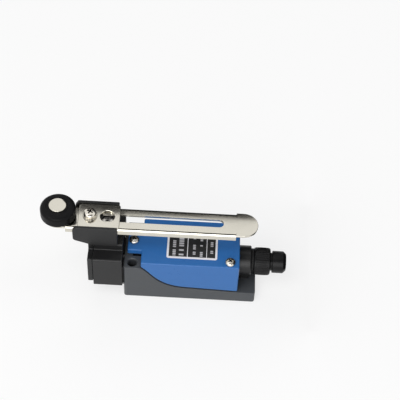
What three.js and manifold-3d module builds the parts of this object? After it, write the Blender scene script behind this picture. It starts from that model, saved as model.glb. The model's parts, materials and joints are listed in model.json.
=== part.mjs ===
// Side rotary limit switch with an adjustable roller lever, built as separate pieces.
// Millimetres, +Z up. The switch lies on its mounting back: X runs along the body towards the
// cable gland, Y across it, Z out of the front. The origin is the centre of the back face.
import * as THREE from "three";
import { mergeVertices } from "three/addons/utils/BufferGeometryUtils.js";
import Module from "manifold-3d";

const wasm = await Module();
wasm.setup();

// ---- Clearances ----
const seat = 0.1; // between flat faces that bear on each other
const gap = 0.3; // between cut or curved pieces that don't move
const running = 0.12; // radial, round pieces that turn or slide
const press = 0.05; // under screw heads, and radial between pressed pieces
const glue = 0.02; // under the label
const poke = 1; // how far a cutting shape runs past the face it cuts

// ---- Driving dimensions ----
const body = { length: 64, width: 28, rim: 7, floor: 3, wall: 2, endWall: 4, corner: 1.6, ledge: 8.7 };
const pillar = { length: 8, width: 7.5, height: 22.7 };
const mounting = { insetX: 4, insetY: 3.5, radius: 2.2 };
const parting = { slopeEnd: 22, shoulder: 5.5, dip: 3.2, lean: 1.5, settle: 0.6, lowHeight: 8.2 };
const cover = { inset: 0.3, rise: 3.8, front: 2, wall: 1.4, stem: 6.6, stemWidth: 11.8 };
const gasket = { thickness: 0.8, width: 0.6, lap: 0.1 };
const coverPost = { stem: 3.1, side: 2.6 };
const screwFloor = 0.8; // wall left under a screw hole in the floor
const coverScrew = {
  head: 2.5, headHeight: 1.7, shank: 1.2, overPlunger: 3.3,
  inset: 3.7, endInset: 4.4, y: 10.6,
};
const label = { length: 24.3, width: 19.4, thickness: 0.3, corner: 1, offset: 0.75 };
const boss = { radius: 7.4, length: 5.7, chamfer: 0.8, belowCover: 2.1, room: 0.3, wall: 3.4, foot: 10 };
const gland = { thread: 4.4, flange: 6.8, flangeLength: 8, tail: 3, bore: 3.5, insert: 8, edge: 0.7 };
const glandNut = { wall: 0.75, threadRoom: 0.25, length: 6.7, mouth: 3.5, chamfer: 1.3, lip: 1.2, stand: 1 };
const glandRing = { radius: 5.5, thickness: 1.1 };
const glandSeal = { room: 0.35, inner: 3.2, length: 2.2 };
const head = { length: 14, width: 28, bottom: 7.5, rise: 4.7, wall: 2, floor: 3, front: 2.2, room: 18.4 };
const platform = { width: 14.8, height: 4.2 };
const endCap = { thickness: 2.4, bottom: 10.5, foot: 16 };
const headSeal = { thickness: 0.5, sideInset: 1, bottomInset: 0.6, topInset: 0.8 };
const headScrew = { head: 2.2, shank: 1.2, reach: 3.3, y: 5.9, lowZ: 10.2, fromTop: 1.9 };
const shaft = { radius: 3, bottom: 9.5, intoHub: 6, fromBody: 8.2 };
const bush = { wall: 1.18, length: 5.2, lip: 0.7 };
const cam = { wall: 1.2, flat: 0.35, height: 4, centreZ: 13.5 };
const plunger = { radius: 1.7, flange: 3.2, flangeThickness: 0.8, nose: 0.8, noseLength: 0.5, travel: 1.5 };
const plungerSpring = { radius: 2.65, wire: 0.5, turns: 4, bore: 3.5, depth: 2.5 };
const leverSpring = { room: 0.475, wire: 0.55, turns: 5, belowMiddle: 0.85, length: 4.4 };
const hubNose = { cutX: 1.3, cutZ: 2.2, top: 6.4, curve: 3.6, inset: 1.6, low: 2.9, foot: 8.6, lip: 0.6 };
const hub = { left: 15.9, right: 5.1, stand: 0.4, height: 12.3, wall: 1.4, floor: 6.4, ribRoom: 0.6 };
const arm = { plate: 1.1, width: 13.8, depth: 3.6, reach: 23.2, rear: 71.2, flangeInset: 3.8, sink: 1.8 };
const armSlot = { width: 4.4, travel: 60.9, spare: 0.75, flangeEnd: 10.35 };
const clampPlate = { front: 13.6, back: 5.8, thickness: 1, hole: 3.5, corner: 1, sideRoom: 0.2 };
const clampScrew = { fromShaft: 8.2, head: 3.1, headHeight: 2.6, shank: 1.95, aboveHubBottom: 1.5 };
const washer = { radius: 3.4, thickness: 0.5 };
const shaftScrew = { head: 2.7, headHeight: 2.2, shank: 1.3, length: 5, socket: 1.25, socketDepth: 1.3 };
const roller = { radius: 8.4, width: 6, edge: 1.9, bevel: 0.57, lowEdge: 0.8 };
const pin = { radius: 2.48, head: 4.1, headHeight: 0.9, tail: 3.6, tailHeight: 0.8, edge: 0.3 };
const rollerWasher = { radius: 4.6, thickness: 0.7 };
const block = { length: 24, width: 20, height: 13.9, fromHeadEnd: 10.6, chamberLength: 12, wall: 1.4 };
const blockLid = { thickness: 1.2 };
const chamber = { start: 4.4, below: 3.5 };
const button = { radius: 1.5, nose: 0.45, noseLength: 0.4, bridgeAt: 8.1 };
const bridge = { overhang: 1, height: 2.4, thickness: 0.5, contact: 0.9, contactHeight: 0.5 };
const blockSpring = { radius: 1.55, wire: 0.4, turns: 6 };
const terminal = { width: 3.6, thickness: 0.7, fromSide: 4, tab: 6.4, tabEnd: 2.2 };
const terminalShift = { near: 0.4, far: 1.6 };
const contactLeg = { gap: 0.25, below: 1.4 };
const terminalScrew = { head: 2, headHeight: 1.3, shank: 1, length: 5 };
const blockEar = { length: 5.4, width: 16, thickness: 2.6, screwY: 5 };
const blockScrew = { head: 2.1, headHeight: 1.3, shank: 1.05, length: 4.6 };
const earth = { fromGlandWall: 6.7, y: -7, radius: 2.6, height: 3, washer: 3, washerThickness: 0.6 };
const segments = { coarse: 14, fine: 28 };

// ---- Places worked out from them ----
const half = (value) => value / 2;
const headEnd = -half(body.length);
const glandEnd = half(body.length);
const pillarEnd = headEnd + pillar.length;
const coverEnd = glandEnd - body.ledge;
const coverHalf = half(body.width) - cover.inset;
const coverTop = pillar.height + cover.rise;
const coverScrewLength = coverTop - cam.centreZ - plunger.radius - coverScrew.overPlunger;
const coverInner = coverHalf - cover.wall;
const cavityHalf = half(body.width) - body.wall;
const bossEnd = coverEnd + gap + boss.length;
const glandWallX = coverEnd - cover.wall - gap - boss.wall;
const earthX = glandWallX - earth.fromGlandWall;
const screwX = [headEnd + pillar.length - coverScrew.inset, coverEnd - coverScrew.endInset];
const coverUnder = coverTop - cover.front;
const bossZ = coverUnder - boss.belowCover - boss.radius;
const mountY = half(body.width) - mounting.insetY;
const headFaceX = headEnd - headSeal.thickness - 2 * seat;
const headBackX = headFaceX - head.length;
const capFaceX = headBackX - seat - endCap.thickness;
const shaftX = headEnd - shaft.fromBody;
const headTop = pillar.height + head.rise;
const platformTop = headTop + platform.height;
const platformHalf = half(platform.width);
const hubBottom = platformTop + hub.stand;
const hubTop = hubBottom + hub.height;
const hubWidth = arm.width + 2 * (gap + hub.wall);
const shaftTop = hubBottom + shaft.intoHub;
const armFront = hubTop - arm.sink;
const armUnder = armFront - arm.plate;
const armHalf = half(arm.width);
const plateTop = armFront + seat + clampPlate.thickness;
const clampBottom = hubBottom + clampScrew.aboveHubBottom;
const bushOuter = shaft.radius + running + bush.wall;
const camRadius = shaft.radius + cam.wall;
const camTop = cam.centreZ + half(cam.height);
const bushBottom = platformTop - bush.lip - seat - bush.length;
const leverSpringBottom = half(camTop + bushBottom) - half(leverSpring.length) - leverSpring.belowMiddle;
const plungerTip = shaftX + camRadius + gap;
const springSeatX = headEnd + plungerSpring.depth;
const rollerBottom = armFront + seat + rollerWasher.thickness + seat;
const rollerTop = rollerBottom + roller.width;
const blockX = headEnd + block.fromHeadEnd;
const blockBottom = body.floor + seat;
const blockTop = blockBottom + block.height;
const buttonTip = blockX - plunger.travel - gap;
const terminalY = half(block.width) - terminal.fromSide;
const chamberX = blockX + chamber.start;
const chamberFloor = cam.centreZ - chamber.below;
const bridgeX = blockX + button.bridgeAt;
const bridgeBack = bridgeX + bridge.thickness + bridge.contactHeight;
const actuatorZ = cam.centreZ;
const lidTop = blockTop + seat + blockLid.thickness;
const flangeX = bossEnd + glandRing.thickness + 2 * seat;
const nutX = flangeX + gland.flangeLength + glandNut.stand;
const nutCavity = gland.thread + glandNut.threadRoom;
const nutOuter = nutCavity + glandNut.wall;
const nutEnd = nutX + glandNut.length;

// ---- Materials ----
function finish(color, roughness, metalness) {
  return new THREE.MeshStandardMaterial({ color, roughness, metalness });
}
const castGrey = finish(0x3c3d40, 0.55, 0.3);
const blueShell = finish(0x2b66a8, 0.35, 0.1);
const blackCast = finish(0x1d1d1f, 0.5, 0.2);
const blackPlastic = finish(0x161617, 0.45, 0);
const blackRubber = finish(0x0e0e0f, 0.85, 0);
const nickel = finish(0xd9d6cf, 0.22, 1);
const steel = finish(0xb9b9b6, 0.35, 1);
const brass = finish(0xb58a3e, 0.35, 1);
const labelFilm = finish(0x202020, 0.4, 0);
const phenolic = finish(0x2b2420, 0.5, 0);

// ---- Solids ----
// A closed three.js geometry as a manifold solid, its poles and seams merged.
function solid(geometry) {
  geometry.deleteAttribute("normal");
  geometry.deleteAttribute("uv");
  const merged = mergeVertices(geometry, 1e-4);
  const index = merged.index.array;
  const kept = [];
  for (let i = 0; i < index.length; i += 3) {
    const [a, b, c] = [index[i], index[i + 1], index[i + 2]];
    if (a !== b && b !== c && c !== a) kept.push(a, b, c);
  }
  const made = (order) =>
    new wasm.Manifold(
      new wasm.Mesh({
        numProp: 3,
        vertProperties: merged.attributes.position.array,
        triVerts: new Uint32Array(order),
      }),
    );
  const shape = made(kept);
  if (shape.volume() > 0) return shape;
  return made([...kept].reverse());
}

function box(x0, x1, y0, y1, z0, z1) {
  const shape = new THREE.BoxGeometry(x1 - x0, y1 - y0, z1 - z0);
  return solid(shape.translate((x0 + x1) / 2, (y0 + y1) / 2, (z0 + z1) / 2));
}

// Turns a solid made along +Z so that it lies along +X.
const alongX = (shape) => shape.rotate([0, 90, 0]);

// A turned solid along +Z from [radius, height] points, on the axis or closed on itself.
function turned(points, sides = segments.fine) {
  const shape = new THREE.LatheGeometry(
    points.map(([radius, height]) => new THREE.Vector2(radius, height)),
    sides,
  );
  return solid(shape.rotateX(half(Math.PI)));
}

function rod(radius, from, to, sides = segments.fine) {
  return turned([[0, from], [radius, from], [radius, to], [0, to]], sides);
}

function tube(outer, inner, from, to, sides = segments.fine) {
  return turned([[inner, from], [outer, from], [outer, to], [inner, to], [inner, from]], sides);
}

function zRod(x, y, radius, from, to, sides) {
  return rod(radius, from, to, sides).translate([x, y, 0]);
}

function xRod(y, z, radius, from, to, sides) {
  return alongX(rod(radius, from, to, sides)).translate([0, y, z]);
}

// An outline in X and Y, raised from one height to another.
function raised(outline, from, to, curveSegments = 6) {
  const shape = new THREE.ExtrudeGeometry(outline, { depth: to - from, bevelEnabled: false, curveSegments });
  return solid(shape.translate(0, 0, from));
}

// An outline in X and Z, drawn as (x, z) and carried across Y.
function across(outline, width, curveSegments = 8) {
  const shape = new THREE.ExtrudeGeometry(outline, { depth: width, bevelEnabled: false, curveSegments });
  return solid(shape.rotateX(half(Math.PI)).translate(0, half(width), 0));
}

function roundedOutline(x0, x1, y0, y1, radius) {
  const outline = new THREE.Shape();
  outline.moveTo(x0 + radius, y0);
  outline.lineTo(x1 - radius, y0);
  outline.absarc(x1 - radius, y0 + radius, radius, -half(Math.PI), 0);
  outline.lineTo(x1, y1 - radius);
  outline.absarc(x1 - radius, y1 - radius, radius, 0, half(Math.PI));
  outline.lineTo(x0 + radius, y1);
  outline.absarc(x0 + radius, y1 - radius, radius, half(Math.PI), Math.PI);
  outline.lineTo(x0, y0 + radius);
  outline.absarc(x0 + radius, y0 + radius, radius, Math.PI, 1.5 * Math.PI);
  return outline;
}

// A slot or bar with round ends, its end centres at x0 and x1.
function stadium(x0, x1, y, radius) {
  const outline = new THREE.Shape();
  outline.moveTo(x0, y - radius);
  outline.lineTo(x1, y - radius);
  outline.absarc(x1, y, radius, -half(Math.PI), half(Math.PI));
  outline.lineTo(x0, y + radius);
  outline.absarc(x0, y, radius, half(Math.PI), 1.5 * Math.PI);
  return outline;
}

// A helical spring along +Z from its own base.
function coil(radius, wire, turns, length, stepsPerTurn = 9) {
  const steps = turns * stepsPerTurn;
  const points = [];
  for (let i = 0; i <= steps; i += 1) {
    const angle = (2 * Math.PI * i) / stepsPerTurn;
    const rise = half(wire) + ((length - wire) * i) / steps;
    points.push(new THREE.Vector3(radius * Math.cos(angle), radius * Math.sin(angle), rise));
  }
  const section = new THREE.Shape();
  section.absarc(0, 0, half(wire), 0, 2 * Math.PI);
  return solid(
    new THREE.ExtrudeGeometry(section, {
      extrudePath: new THREE.CatmullRomCurve3(points),
      steps,
      curveSegments: 3,
      bevelEnabled: false,
    }),
  );
}

// A pan-head screw along -Z, its head's bearing face at the origin, with a cross recess.
function panScrew({ head: radius, headHeight, shank, length }, sides = segments.coarse) {
  const shape = turned(
    [
      [0, -length],
      [shank * 0.6, -length],
      [shank, -length + shank * 0.6],
      [shank, 0],
      [radius, 0],
      [radius, headHeight * 0.45],
      [radius * 0.72, headHeight * 0.9],
      [radius * 0.4, headHeight],
      [0, headHeight],
    ],
    sides,
  );
  return shape.subtract(crossRecess(radius * 0.5, radius * 0.13, headHeight * 0.5, headHeight));
}

function crossRecess(reach, halfSlot, from, to) {
  const first = box(-reach, reach, -halfSlot, halfSlot, from, to + poke);
  return first.add(box(-halfSlot, halfSlot, -reach, reach, from, to + poke));
}

// A countersunk screw along -Z, its flat head's face at the origin.
function flatScrew({ head: radius, shank, length }) {
  const shape = turned(
    [
      [0, -length],
      [shank, -length],
      [shank, shank - radius],
      [radius, 0],
      [0, 0],
    ],
    segments.coarse,
  );
  return shape.subtract(crossRecess(radius * 0.55, radius * 0.14, half(shank - radius), 0));
}

// ---- The parting line between base and cover ----
// Everything below the line at a given height above it, as an outline in X and Z.
function belowParting(raise, fromX, toX) {
  const outline = new THREE.Shape();
  outline.moveTo(fromX, -poke);
  outline.lineTo(fromX, pillar.height + raise);
  outline.lineTo(pillarEnd, pillar.height + raise);
  outline.bezierCurveTo(
    pillarEnd + parting.shoulder,
    pillar.height - parting.dip + raise,
    pillarEnd + parting.shoulder + parting.lean,
    parting.lowHeight + parting.settle + raise,
    pillarEnd + parting.slopeEnd,
    parting.lowHeight + raise,
  );
  outline.lineTo(coverEnd, body.rim + raise);
  outline.lineTo(toX, body.rim + raise);
  outline.lineTo(toX, -poke);
  return outline;
}

const partingBlock = (raise) => across(belowParting(raise, headEnd - poke, glandEnd + poke), 2 * body.width);

// ---- The body ----
function baseHousing() {
  const outline = roundedOutline(headEnd, glandEnd, -half(body.width), half(body.width), body.corner);
  const inner = half(body.width) - pillar.width + seat;
  let shape = raised(outline, 0, pillar.height).intersect(partingBlock(0));
  const wideStart = pillarEnd + body.wall;
  const hollow = box(wideStart, glandWallX, -cavityHalf, cavityHalf, body.floor, coverTop);
  const neck = box(headEnd + body.endWall, wideStart + poke, -inner, inner, body.floor, coverTop);
  shape = shape.subtract(hollow.add(neck));
  for (const [x, y] of mountingPlaces()) {
    shape = shape.subtract(zRod(x, y, mounting.radius, -poke, coverTop, segments.coarse));
  }
  const lip = coverInner - gap;
  const endWall = box(glandWallX, glandWallX + boss.wall, -lip, lip, body.rim - poke, coverUnder - gap);
  const footSide = half(boss.foot);
  const pedestal = box(glandWallX, bossEnd - boss.chamfer, -footSide, footSide, body.rim - poke, bossZ);
  const drum = alongX(
    turned([
      [0, glandWallX],
      [boss.radius, glandWallX],
      [boss.radius, bossEnd - boss.chamfer],
      [boss.radius - boss.chamfer, bossEnd],
      [0, bossEnd],
    ]),
  ).translate([0, 0, bossZ]);
  shape = shape.add(endWall).add(pedestal).add(drum);
  shape = shape.subtract(xRod(0, bossZ, gland.flange + gap, bossEnd, glandEnd + poke));
  shape = shape.subtract(xRod(0, bossZ, gland.thread + boss.room, glandWallX - poke, bossEnd + poke));
  const screwPost = zRod(screwX[0], 0, coverPost.stem, body.floor - poke, pillar.height, segments.coarse);
  shape = shape.add(screwPost);
  const postTop = coverUnder - gap;
  for (const side of [-1, 1]) {
    const y = side * coverScrew.y;
    const post = zRod(screwX[1], y, coverPost.side, body.floor - poke, postTop, segments.coarse);
    shape = shape.add(post.intersect(box(0, glandEnd, -lip, lip, 0, coverTop)));
  }
  for (const [x, y, top] of coverScrewPlaces()) {
    const low = top - coverScrewLength - seat;
    shape = shape.subtract(zRod(x, y, coverScrew.shank + seat, low, top, segments.coarse));
  }
  const plungerBoreEnd = screwX[0] + coverPost.stem + poke;
  shape = shape.subtract(xRod(0, actuatorZ, plunger.radius + running, headEnd - poke, plungerBoreEnd));
  shape = shape.subtract(xRod(0, actuatorZ, plungerSpring.bore, headEnd - poke, springSeatX));
  for (const [y, z] of headScrewPlaces()) {
    const end = headEnd + headScrew.reach + seat;
    const hole = xRod(y, z, headScrew.shank + seat, headEnd - poke, end, segments.coarse);
    shape = shape.subtract(hole);
  }
  for (const side of [-1, 1]) {
    const y = side * blockEar.screwY;
    const hole = zRod(earX(), y, blockScrew.shank + seat, screwFloor, body.floor + poke, segments.coarse);
    shape = shape.subtract(hole);
  }
  const earthTop = body.floor + earth.height;
  const earthPost = zRod(earthX, earth.y, earth.radius, body.floor - poke, earthTop, segments.coarse);
  const earthHole = zRod(earthX, earth.y, blockScrew.shank + seat, screwFloor, coverTop, segments.coarse);
  return shape.add(earthPost).subtract(earthHole);
}

function mountingPlaces() {
  const nearHead = headEnd + mounting.insetX;
  return [[nearHead, -mountY], [nearHead, mountY], [glandEnd - mounting.insetX, mountY]];
}

// Where each cover screw stands: x, y and the height under its head.
function coverScrewPlaces() {
  return [
    [screwX[0], 0, coverTop],
    [screwX[1], -coverScrew.y, coverTop],
    [screwX[1], coverScrew.y, coverTop],
  ];
}

function headScrewPlaces() {
  const places = [];
  for (const y of [-headScrew.y, headScrew.y]) {
    for (const z of [headScrew.lowZ, pillar.height - headScrew.fromTop]) places.push([y, z]);
  }
  return places;
}

const earX = () => blockX + block.length + half(blockEar.length);

function coverOutline(inset, raise = 0) {
  const wide = coverHalf - inset;
  const narrow = half(cover.stemWidth) - inset;
  const outline = new THREE.Shape();
  const start = pillarEnd + gap + inset;
  const tip = pillarEnd - cover.stem + inset + raise;
  outline.moveTo(tip, -narrow);
  outline.lineTo(start, -narrow);
  outline.lineTo(start, -wide);
  outline.lineTo(coverEnd - inset, -wide);
  outline.lineTo(coverEnd - inset, wide);
  outline.lineTo(start, wide);
  outline.lineTo(start, narrow);
  outline.lineTo(tip, narrow);
  return outline;
}

function frontCover() {
  let shape = raised(coverOutline(0), 0, coverTop).subtract(partingBlock(gap));
  const start = pillarEnd + gap + cover.wall;
  const hollow = box(start, coverEnd - cover.wall, -coverInner, coverInner, -poke, coverUnder);
  shape = shape.subtract(hollow);
  const edge = boss.radius + gap;
  const doorway = box(coverEnd - cover.wall - poke, coverEnd + poke, -edge, edge, -poke, bossZ);
  const arch = xRod(0, bossZ, edge, coverEnd - cover.wall - poke, coverEnd + poke);
  shape = shape.subtract(doorway.add(arch));
  shape = shape.subtract(gasketLoop(gasket.width + gap, -gap, gasket.thickness + 2 * gap));
  for (const [x, y] of coverScrewPlaces()) {
    shape = shape.subtract(zRod(x, y, coverScrew.shank + gap, -poke, coverTop + poke, segments.coarse));
  }
  return shape;
}

// A strip that follows the parting line just inside the outer walls.
function gasketLoop(width, from, to) {
  const outer = coverInner + width;
  const inner = coverInner - gasket.lap;
  const startX = pillarEnd + body.wall;
  const band = partingBlock(to).subtract(partingBlock(from));
  const frame = box(startX, glandWallX - gap, -outer, outer, 0, coverTop);
  return band.intersect(frame.subtract(box(startX - poke, glandEnd, -inner, inner, -poke, coverTop + poke)));
}

function coverGasket(side) {
  const strip = gasketLoop(gasket.width, seat, seat + gasket.thickness);
  const y = side * body.width;
  return strip.intersect(box(headEnd, glandEnd, Math.min(0, y), Math.max(0, y), 0, coverTop));
}

function labelPlate() {
  const centre = half(pillarEnd + coverEnd) + label.offset;
  const outline = roundedOutline(
    centre - half(label.length),
    centre + half(label.length),
    -half(label.width),
    half(label.width),
    label.corner,
  );
  return raised(outline, coverTop + glue, coverTop + glue + label.thickness);
}

// ---- The cable gland ----
function glandBody() {
  const insertX = flangeX - glandRing.thickness - gland.insert;
  const tailX = flangeX + gland.flangeLength + gland.tail;
  return alongX(
    turned([
      [gland.bore, insertX],
      [gland.thread, insertX],
      [gland.thread, flangeX],
      [gland.flange - gland.edge, flangeX],
      [gland.flange, flangeX + gland.edge],
      [gland.flange, flangeX + gland.flangeLength - gland.edge],
      [gland.flange - gland.edge, flangeX + gland.flangeLength],
      [gland.thread, flangeX + gland.flangeLength],
      [gland.thread, tailX],
      [gland.bore, tailX],
      [gland.bore, insertX],
    ]),
  );
}

function glandWasher() {
  const start = bossEnd + seat;
  return alongX(tube(glandRing.radius, gland.thread + running, start, start + glandRing.thickness));
}

function glandCap() {
  return alongX(
    turned([
      [nutCavity, nutX],
      [nutOuter, nutX],
      [nutOuter, nutEnd - glandNut.chamfer],
      [nutOuter - glandNut.chamfer, nutEnd],
      [glandNut.mouth, nutEnd],
      [glandNut.mouth, nutEnd - glandNut.lip],
      [nutCavity, nutEnd - glandNut.lip],
      [nutCavity, nutX],
    ]),
  );
}

function cableSeal() {
  const end = nutEnd - glandNut.lip - seat;
  return alongX(tube(nutCavity - glandSeal.room, glandSeal.inner, end - glandSeal.length, end));
}

// ---- The head ----
// The head's outline seen from its end, in Y and Z, carried along X.
function headSection(bottom, from, to) {
  const wide = box(from, to, -half(head.width), half(head.width), bottom, headTop);
  return wide.add(box(from, to, -platformHalf, platformHalf, bottom, platformTop));
}

function headHousing() {
  let shape = headSection(head.bottom, headBackX, headFaceX);
  const room = half(head.room);
  const floorTop = head.bottom + head.floor;
  const ceiling = headTop - head.front;
  shape = shape.subtract(box(headBackX - poke, headFaceX - head.wall, -room, room, floorTop, ceiling));
  shape = shape.subtract(zRod(shaftX, 0, bushOuter + running, ceiling - poke, platformTop + poke));
  shape = shape.subtract(zRod(shaftX, 0, shaft.radius + running, shaft.bottom - seat, floorTop + poke));
  const wallStart = headFaceX - head.wall - poke;
  shape = shape.subtract(xRod(0, actuatorZ, plungerSpring.bore, wallStart, headFaceX + poke));
  for (const [y, z] of headScrewPlaces()) {
    const hole = xRod(y, z, headScrew.shank + seat, headBackX - poke, headFaceX + poke, segments.coarse);
    shape = shape.subtract(hole);
  }
  return shape;
}

function headEndCap() {
  let shape = headSection(endCap.bottom, capFaceX, capFaceX + endCap.thickness);
  const side = half(endCap.foot);
  const foot = box(capFaceX, capFaceX + endCap.thickness, -side, side, head.bottom, endCap.bottom + poke);
  shape = shape.add(foot);
  for (const [y, z] of headScrewPlaces()) {
    const room = headScrew.head + seat;
    const hole = xRod(y, z, headScrew.shank + seat, capFaceX - poke, headBackX + poke, segments.coarse);
    const depth = room - headScrew.shank;
    const sink = alongX(
      turned(
        [
          [0, -poke],
          [room, -poke],
          [room, 0],
          [headScrew.shank + seat, depth],
          [0, depth],
        ],
        segments.coarse,
      ),
    );
    shape = shape.subtract(hole).subtract(sink.translate([capFaceX, y, z]));
  }
  return shape;
}

function headGasket() {
  const start = headFaceX + seat;
  const end = start + headSeal.thickness;
  const side = half(head.width) - headSeal.sideInset;
  const low = head.bottom + headSeal.bottomInset;
  let shape = box(start, end, -side, side, low, pillar.height - headSeal.topInset);
  shape = shape.subtract(xRod(0, actuatorZ, plungerSpring.bore, start - poke, end + poke));
  for (const [y, z] of headScrewPlaces()) {
    shape = shape.subtract(xRod(y, z, headScrew.shank + gap, start - poke, end + poke, segments.coarse));
  }
  return shape;
}

function shaftBush() {
  return zTube(bushOuter, shaft.radius + running, bushBottom, bushBottom + bush.length);
}

function shaftSeal() {
  return zTube(bushOuter - seat, shaft.radius + running, platformTop - bush.lip, platformTop - press);
}

const zTube = (outer, inner, from, to) => tube(outer, inner, from, to).translate([shaftX, 0, 0]);

// ---- The turning lever ----
function leverShaft() {
  const shape = rod(shaft.radius, shaft.bottom, shaftTop);
  return shape.subtract(rod(shaftScrew.shank + seat, shaftTop - shaftScrew.length - seat, shaftTop + poke,
    segments.coarse));
}

// A disc on the shaft with one flat that faces the plunger at rest.
function actuatingCam() {
  const low = cam.centreZ - half(cam.height);
  const disc = tube(camRadius, shaft.radius + press, low, camTop);
  const side = camRadius + poke;
  return disc.subtract(box(shaft.radius + cam.flat, side, -side, side, low - poke, camTop + poke));
}

function hubOutline() {
  const outline = new THREE.Shape();
  outline.moveTo(hub.right, hubBottom);
  outline.lineTo(hub.right, hubTop);
  outline.lineTo(-hub.left + hubNose.cutX, hubTop);
  outline.lineTo(-hub.left, hubTop - hubNose.cutZ);
  outline.lineTo(-hub.left, hubBottom + hubNose.top);
  const underX = -hub.left + hubNose.inset;
  outline.quadraticCurveTo(-hub.left, hubBottom + hubNose.curve, underX, hubBottom + hubNose.low);
  outline.lineTo(-hubNose.foot, hubBottom + hubNose.lip);
  outline.lineTo(-hubNose.foot, hubBottom);
  return outline;
}

function leverHub() {
  let shape = across(hubOutline(), hubWidth, 5);
  const walls = half(hubWidth) - hub.wall;
  const rib = armHalf - arm.plate - hub.ribRoom;
  const start = -hub.left - poke;
  const end = hub.right + poke;
  for (const side of [-1, 1]) {
    const [low, high] = [side * rib, side * walls].sort((a, b) => a - b);
    shape = shape.subtract(box(start, end, low, high, hubBottom + hub.floor, hubTop + poke));
  }
  shape = shape.subtract(box(start, end, -walls, walls, armUnder - seat, hubTop + poke));
  shape = shape.subtract(rod(shaft.radius + press, hubBottom - poke, shaftTop + seat));
  shape = shape.subtract(rod(shaftScrew.head + gap, shaftTop, hubTop + poke, segments.coarse));
  const screwHole = rod(clampScrew.shank + seat, clampBottom - seat, hubTop + poke, segments.coarse);
  return shape.subtract(screwHole.translate([-clampScrew.fromShaft, 0, 0]));
}

function hubScrew() {
  const { head: radius, headHeight, shank, length, socket, socketDepth } = shaftScrew;
  const shape = turned(
    [[0, -length], [shank, -length], [shank, 0], [radius, 0], [radius, headHeight], [0, headHeight]],
    segments.coarse,
  );
  return shape.subtract(rod(socket, headHeight - socketDepth, headHeight + poke, 6));
}

function armClampPlate() {
  const halfWidth = half(hubWidth) - hub.wall - clampPlate.sideRoom;
  const { front, back, corner } = clampPlate;
  const outline = roundedOutline(-front, back, -halfWidth, halfWidth, corner);
  let shape = raised(outline, armFront + seat, plateTop);
  shape = shape.subtract(rod(clampPlate.hole, armFront - poke, plateTop + poke));
  const screwHole = rod(clampScrew.shank + gap, armFront - poke, plateTop + poke, segments.coarse);
  return shape.subtract(screwHole.translate([-clampScrew.fromShaft, 0, 0]));
}

// ---- The sliding arm ----
function slidingArm() {
  const left = -arm.reach;
  const right = arm.rear;
  const flangeStart = left + arm.flangeInset;
  const flangeEnd = right - armSlot.flangeEnd;
  const centreRight = right - armHalf;
  let shape = raised(stadium(left, centreRight, 0, armHalf), armUnder, armFront, 12);
  for (const side of [-1, 1]) {
    const [low, high] = [side * (armHalf - arm.plate), side * armHalf].sort((a, b) => a - b);
    const foot = armFront - arm.depth;
    shape = shape.add(box(flangeStart, flangeEnd, low, high, foot, armUnder + half(arm.plate)));
  }
  const slotLeft = -clampScrew.fromShaft - armSlot.spare;
  const slot = raised(stadium(slotLeft, slotLeft + armSlot.spare + armSlot.travel, 0, half(armSlot.width)),
    armUnder - poke, armFront + poke);
  shape = shape.subtract(slot);
  return shape.subtract(zRod(left, 0, pin.radius + press, armUnder - poke, armFront + poke));
}

function rollerPin() {
  const headUnder = rollerTop + seat;
  const tailTop = armUnder - seat;
  return turned([
    [0, tailTop - pin.tailHeight],
    [pin.tail, tailTop - pin.tailHeight],
    [pin.tail, tailTop],
    [pin.radius, tailTop],
    [pin.radius, headUnder],
    [pin.head, headUnder],
    [pin.head, headUnder + pin.headHeight - pin.edge],
    [pin.head - pin.edge, headUnder + pin.headHeight],
    [0, headUnder + pin.headHeight],
  ]);
}

function rollerRing() {
  const { radius, edge, bevel, lowEdge } = roller;
  const bore = pin.radius + running;
  return turned([
    [bore, rollerBottom],
    [radius - lowEdge, rollerBottom],
    [radius, rollerBottom + lowEdge],
    [radius, rollerTop - edge],
    [radius - bevel, rollerTop - bevel],
    [radius - edge, rollerTop],
    [bore, rollerTop],
    [bore, rollerBottom],
  ]);
}

function rollerSpacer() {
  const start = armFront + seat;
  return tube(rollerWasher.radius, pin.radius + running, start, start + rollerWasher.thickness);
}

// ---- The plunger ----
function pushPlunger() {
  const stemEnd = buttonTip - gap;
  return alongX(
    turned([
      [0, plungerTip],
      [plunger.flange - plunger.nose, plungerTip],
      [plunger.flange, plungerTip + plunger.noseLength],
      [plunger.flange, plungerTip + plunger.flangeThickness],
      [plunger.radius, plungerTip + plunger.flangeThickness],
      [plunger.radius, stemEnd],
      [0, stemEnd],
    ], segments.coarse),
  ).translate([0, 0, actuatorZ]);
}

function returnSpring() {
  const start = plungerTip + plunger.flangeThickness + seat;
  const end = springSeatX - seat;
  const shape = coil(plungerSpring.radius, plungerSpring.wire, plungerSpring.turns, end - start);
  return alongX(shape).translate([start, 0, actuatorZ]);
}

// ---- The contact block ----
function contactCase() {
  const endX = blockX + block.length;
  const side = half(block.width);
  let shape = box(blockX, endX, -side, side, blockBottom, blockTop);
  const ear = half(blockEar.width);
  shape = shape.add(
    box(endX - poke, endX + blockEar.length, -ear, ear, blockBottom, blockBottom + blockEar.thickness),
  );
  const room = half(block.width) - block.wall;
  shape = shape.subtract(
    box(chamberX, chamberX + block.chamberLength, -room, room, chamberFloor, blockTop + poke),
  );
  shape = shape.subtract(xRod(0, actuatorZ, button.radius + running, blockX - poke, chamberX + poke,
    segments.coarse));
  for (const [x, y] of terminalScrewPlaces()) {
    const low = lidTop - terminalScrew.length;
    shape = shape.subtract(zRod(x, y, terminalScrew.shank + seat, low, blockTop + poke, segments.coarse));
  }
  for (const y of [-blockEar.screwY, blockEar.screwY]) {
    shape = shape.subtract(zRod(earX(), y, blockScrew.shank + seat, 0, blockTop, segments.coarse));
  }
  return shape;
}

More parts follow.
